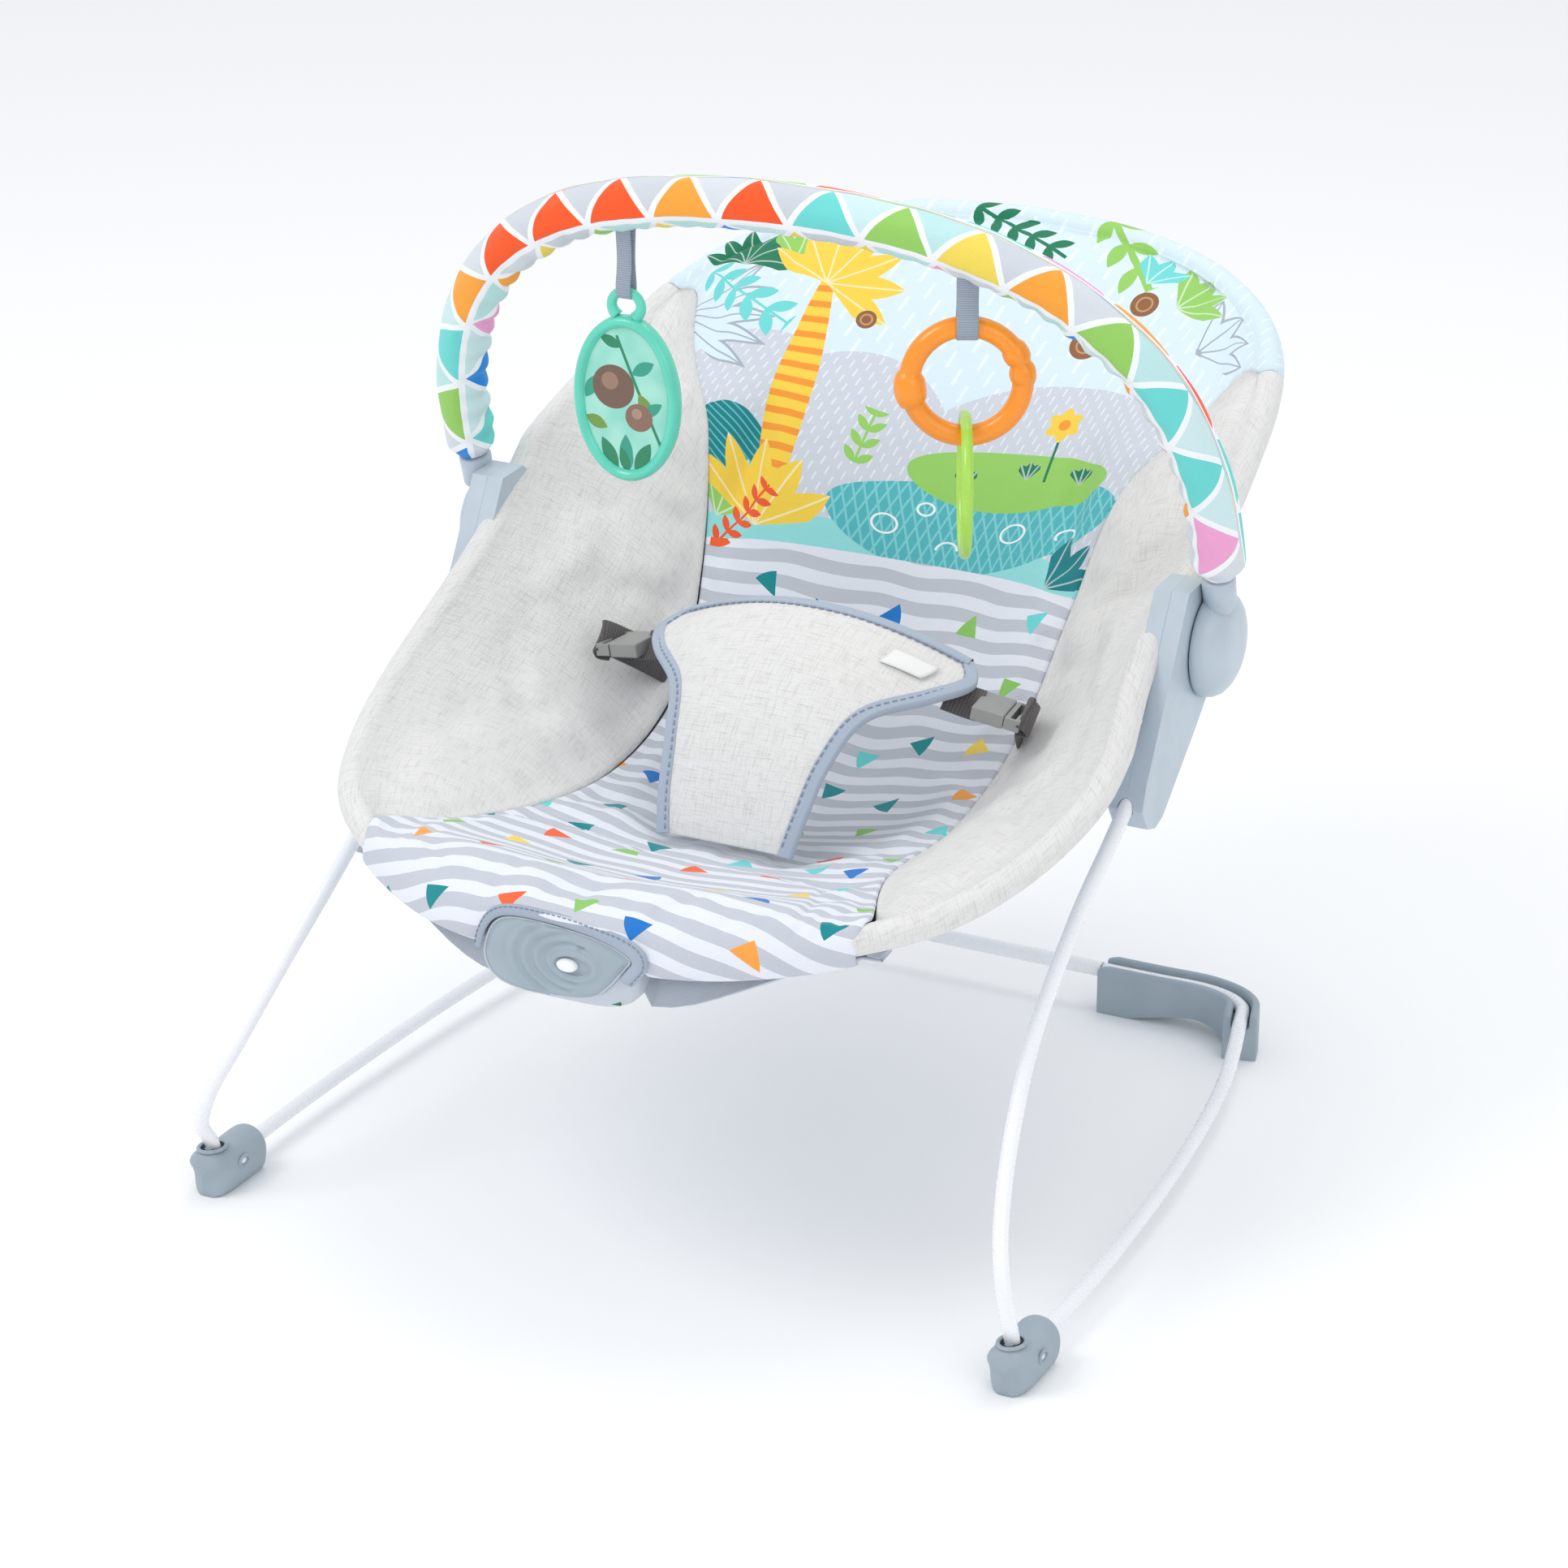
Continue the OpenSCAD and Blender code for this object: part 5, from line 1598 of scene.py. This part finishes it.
def add_pocket_binding(binding, thread):
    """Bound edge of the pocket round the top of the unit, with its stitches."""
    over = [p for p in UNIT_EDGE[-8:] + UNIT_EDGE[:60] if p.z > 193]
    grid, stitches = [], []
    for k, p in enumerate(over):
        t = over[min(k + 1, len(over) - 1)] - over[max(k - 1, 0)]
        out = Vector((t.z, 0, -t.x)).normalized()
        wide = lerp(5.2, 7.5, smooth(p.x, 20, 42))
        row = []
        for w in steps_between(0.0, 1.0, 6):
            swell = 0.8 * math.sin(math.pi * w)
            row.append(Vector((0, UNIT_FACE_Y + 0.6 + 2.6 * w * w - swell, 0))
                       + Vector((p.x, 0, p.z)) + out * (0.7 + wide * w))
        grid.append(row)
        stitches.append(row[5] + Vector((0, -0.5, 0)))
    slab("pocket_binding", grid, lambda i, j: 1.5, "seat", binding,
         cloth_marks(grid))
    add_stitches("pocket_stitches", stitches, "seat", thread, 1.8, 1.2, 0.35)


# ---------------------------------------------------------------- hanging toys
def joint_place(name):
    joint = next(j for j in frame["record"]["behaviour"]["joints"] if j["name"] == name)
    x, y, z = (c / MM for c in joint["pos_m"])
    return Vector((x, y + DEPTH_ORIGIN, z))


RING_TURN = math.radians(27)     # the ring hangs turned away from the front
RING_R = 28.5                   # of the teether ring, to the middle of its tube
RING_THICK = 5.5
LINK_R = 35
LINK_THICK = 3.0


def ring_tube(name, centre, turn, radius, thickness, body, material, bumps=()):
    """A ring that stands upright, turned about Z, with smooth swellings at given angles."""
    flat = Vector((math.cos(turn), math.sin(turn), 0))
    normal = Vector((math.sin(turn), -math.cos(turn), 0))
    rings = []
    steps = 144
    for k in range(steps):
        a = 2 * math.pi * k / steps
        out = flat * math.cos(a) + Vector((0, 0, 1)) * math.sin(a)
        r = thickness
        for angle, size, reach in bumps:
            away = abs((math.degrees(a) - angle + 180) % 360 - 180)
            r = max(r, thickness + (size - thickness) * math.sqrt(
                max(1 - (away / reach) ** 2, 0)))
        rings.append([centre + out * (radius + r * math.cos(b)) + normal * (r * math.sin(b))
                      for b in (2 * math.pi * s / 28 for s in range(28))])
    faces = grid_faces(steps + 1, 28, closed=True)
    count = steps * 28
    faces = [tuple(i % count for i in f) for f in faces]
    points = [p for ring in rings for p in ring]
    return add_piece(name, points, faces, body, material)


def hanging_ribbon(name, top, turn, loop_centre, loop_r, width, body, material):
    """A folded ribbon: down one side, round the loop, and up the other side."""
    across = Vector((math.cos(turn), math.sin(turn), 0))
    normal = Vector((math.sin(turn), -math.cos(turn), 0))
    start = top + Vector((0, 0, 6))
    front = [start + normal * 3.0, top.lerp(loop_centre, 0.4) + normal * 1.6,
             loop_centre + normal * loop_r + Vector((0, 0, 4))]
    path = spline_path(front, 8)
    path += [loop_centre + normal * loop_r * math.cos(a) - Vector((0, 0, loop_r * math.sin(a)))
             for a in steps_between(0.1, math.pi - 0.1, 12)]
    rear = [loop_centre - normal * loop_r + Vector((0, 0, 4)),
            top.lerp(loop_centre, 0.4) - normal * 2.2, start - normal * 3.4]
    path += spline_path(rear, 8)
    return tape(name, path, across, width, 1.1, body, material)


def add_toys(orange, lime, mint, picture, tape_cloth):
    hinge = joint_place("ring_swing")
    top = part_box("teether_ring")[1][2] / MM - RING_THICK
    centre = Vector((hinge.x, hinge.y, top - RING_R))
    ring = ring_tube("orange_teether_ring", centre, RING_TURN, RING_R, RING_THICK, "ring",
                     orange,
                     ((188, 8.3, 17), (30, 6.9, 9), (8, 6.9, 9)))
    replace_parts(ring, "teether_ring")
    link_low, link_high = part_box("link_ring")
    link_centre = Vector((hinge.x, hinge.y, (link_low[2] + link_high[2]) / 2 / MM))
    link = ring_tube("lime_link_ring", link_centre, RING_TURN + math.pi / 2, LINK_R,
                     LINK_THICK, "link", lime)
    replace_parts(link, "link_ring")
    ribbon = hanging_ribbon("ring_hanging_ribbon", hinge, RING_TURN,
                            centre + Vector((0, 0, RING_R)), 6.4, 11, "ring", tape_cloth)
    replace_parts(ribbon, "ring_ribbon")
    add_medallion(mint, picture, tape_cloth)


MEDALLION_HALF = (31.0, 45.0)    # half width and half height of its frame


OVAL_STEPS = 96


def oval_ring(centre, half_w, half_h, depth):
    """An oval in the plane facing -Y; half_w and half_h are its radii."""
    ring = []
    for k in range(OVAL_STEPS):
        a = 2 * math.pi * k / OVAL_STEPS
        ring.append(centre + Vector((half_w * math.cos(a), depth, half_h * math.sin(a))))
    return ring


def add_medallion(mint, picture, tape_cloth):
    hinge = joint_place("medallion_swing")
    low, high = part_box("medallion_insert")
    centre = Vector((hinge.x, hinge.y, (low[2] + high[2]) / 2 / MM))
    half_w, half_h = MEDALLION_HALF
    # cross-section of the frame: (distance in from the outline, depth)
    section = ((0.0, 0.0), (0.3, -2.6), (1.5, -4.4), (3.0, -5.0), (4.6, -4.4), (6.0, -2.9),
               (6.4, -2.0), (6.4, 2.0), (6.0, 2.9), (4.6, 4.4), (3.0, 5.0), (1.5, 4.4),
               (0.3, 2.6))
    loops = [oval_ring(centre, half_w - inset, half_h - inset, depth)
             for inset, depth in section]
    steps = len(loops[0])
    points = [p for ring in loops for p in ring]
    faces = grid_faces(len(loops) + 1, steps, closed=True)
    faces = [tuple(i % (len(loops) * steps) for i in f) for f in faces]
    rim = add_piece("medallion_oval_frame", points, faces, "medallion", mint)
    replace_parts(rim, "medallion_frame")
    eyelet = centre + Vector((0, 0, half_h + 5.2))
    loop = [eyelet + Vector((8.6 * math.cos(a), 0, 7.6 * math.sin(a)))
            for a in steps_between(math.radians(-52), math.radians(232), 30)]
    tube("medallion_eyelet", loop, lambda t: 2.5 + 0.9 * abs(2 * t - 1) ** 3, (0, 1, 0),
         "medallion", mint, sides=16)
    rows = []
    for share in (1.0, 0.97, 0.9, 0.7, 0.45, 0.2, 0.02):
        bow = 2.0 + 0.8 * (1 - share ** 2)
        rows.append(oval_ring(centre, (half_w - 5.6) * share, (half_h - 5.6) * share, -bow))
    back = [[Vector((p.x, centre.y + (centre.y - p.y), p.z)) for p in ring]
            for ring in rows[:-1]]
    rings = list(reversed(rows)) + back
    marks = [((p.x - centre.x) * MM, (p.z - centre.z) * MM, 0.0) for ring in rings
             for p in ring]
    face = loft("medallion_picture", rings, "medallion", picture, marks=marks)
    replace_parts(face, "medallion_insert")
    ribbon = hanging_ribbon("medallion_hanging_ribbon", hinge, 0.0,
                            eyelet + Vector((0, 0, 7.6)), 3.4, 8.5, "medallion", tape_cloth)
    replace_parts(ribbon, "medallion_ribbon")


def leaf_picture():
    """Generic leaves on a pale green ground, for the medallion."""
    paint = Painter("leaf_picture", 0.35, coat=0.3)
    place = paint.cloth()
    colour = paint.mix(paint.ramp(paint.noise(place, 0.05, 1.0), 0.4, 0.6),
                       rgb(165, 225, 208), rgb(140, 214, 196))
    dark, mid, olive = rgb(20, 130, 90), rgb(35, 155, 130), rgb(110, 150, 60)
    stem = paint.line(place, -5, 34, 66, 1.7, -66)
    colour = paint.mix(stem, colour, dark)
    for x, y, length, width, turn, tone in (
            (4, 14, 15, 7, 30, mid), (8, 4, 15, 7, -60, olive), (-2, 28, 14, 6, 160, dark),
            (10, -8, 14, 6, 35, mid), (-24, -2, 15, 7, 60, mid), (-24, -12, 14, 7, -20, olive),
            (0, -40, 21, 8, 90, mid), (-5, -40, 20, 8, 118, dark), (5, -40, 20, 8, 62, dark),
            (-1, -41, 15, 6, 75, mid), (1, -41, 15, 6, 105, dark)):
        colour = paint.mix(paint.leaf(place, x, y, length, width, turn), colour, tone)
    for x, y, size, tone in ((-7, 6, 12.5, rgb(112, 84, 70)), (8, -9, 8, rgb(135, 100, 84)),
                             (-9, 9, 5, rgb(150, 118, 100)), (6.8, -7, 3, rgb(170, 135, 118))):
        colour = paint.mix(paint.ellipse(place, x, y, size, size * 0.95), colour, tone)
    paint.set("Base Color", colour)
    fine = paint.noise(paint.object_place(), 2.0, 2.0)
    paint.bump(fine, 0.04, 0.5)
    return paint.material


# ---------------------------------------------------------------- inner parts that keep their CAD shape
def assign(node, material):
    holder = frame["nodes"][node]
    for place in holder.material_slots:
        place.material = material


def add_floor():
    mesh = bpy.data.meshes.new("floor")
    reach = 40.0                # metres, so that the horizon is out of sight
    mesh.from_pydata([(-reach, -reach, 0), (reach, -reach, 0), (reach, reach, 0),
                      (-reach, reach, 0)], [], [(0, 1, 2, 3)])
    floor = bpy.data.objects.new("floor", mesh)
    scene.collection.objects.link(floor)
    paint = Painter("pale_floor", 0.9)
    paint.shader.inputs["Base Color"].default_value = (0.97, 0.972, 0.976, 1)
    mesh.materials.append(paint.material)


def main():
    add_camera()
    add_light()
    add_floor()
    enamel = enamelled()
    rubber = moulded("grey_rubber", rgb(158, 172, 182), 0.55, 0.06)
    # painted shade: dark grey for the sheet in each boot slot, standing for the shade inside it
    dark = moulded("painted_slot_shade", rgb(60, 66, 72), 0.6)
    housing = moulded("housing_grey", rgb(183, 196, 207), 0.32, 0.03, coat=0.15)
    unit_plastic = moulded("unit_grey", rgb(160, 175, 184), 0.42, 0.04)
    rim_plastic = moulded("unit_pale_grey", rgb(196, 204, 213), 0.4, 0.03)
    buckle = moulded("buckle_grey", rgb(150, 150, 148), 0.45, 0.05)
    white = moulded("switch_white", rgb(242, 243, 244), 0.35, 0.02)
    orange = moulded("orange_gloss", rgb(255, 150, 15), 0.25, 0.02, coat=0.4)
    lime = moulded("lime_gloss", rgb(170, 222, 80), 0.25, 0.02, coat=0.4)
    mint = moulded("mint_gloss", rgb(95, 214, 188), 0.25, 0.02, coat=0.4)
    linen = linen_weave()
    stripes = striped_print()
    lining = plain_cloth("grey_lining", rgb(190, 198, 210))
    binding = plain_cloth("blue_grey_binding", rgb(172, 184, 200), 0.7)
    thread = plain_cloth("grey_thread", rgb(138, 150, 170), 0.5)
    label = plain_cloth("white_label", rgb(246, 246, 246), 0.5)
    grosgrain = ribbed("grey_grosgrain", rgb(168, 178, 194), 1.2)
    webbing = ribbed("dark_webbing", rgb(96, 92, 92), 2.0)
    steel = brushed_steel("steel", (0.55, 0.55, 0.57, 1))
    add_wires(enamel)
    for side, sign in SIDES.items():
        front_boot(side, sign, rubber)
        boot_details(side, sign, rubber, dark, enamel)
        rear_clip(side, sign, rubber)
    assign("rear_cross_tube", enamel)
    add_housings(housing)
    add_toy_bar(unit_plastic, sleeve_print())
    add_back_panel(jungle_print())
    for side, sign in SIDES.items():
        add_wing(side, sign, linen)
    add_front_panel(stripes)
    add_lining(lining)
    add_crotch_pad(linen, binding, thread, label)
    add_waist_straps(webbing, buckle)
    add_unit_face(unit_plastic)
    add_unit_body(rim_plastic)
    add_unit_trim(unit_plastic, rim_plastic, white)
    add_pocket_binding(binding, thread)
    add_toys(orange, lime, mint, leaf_picture(), grosgrain)
    for node in ("hub_screws", "unit_screws", "battery_contacts", "vibration_motor"):
        assign(node, steel)
    assign("eccentric_weight", brushed_steel("brass", (0.62, 0.47, 0.22, 1)))
    assign("circuit_board", moulded("green_board", rgb(40, 110, 75), 0.45))
    assign("battery_cell", moulded("battery_skin", rgb(70, 74, 80), 0.4))


main()
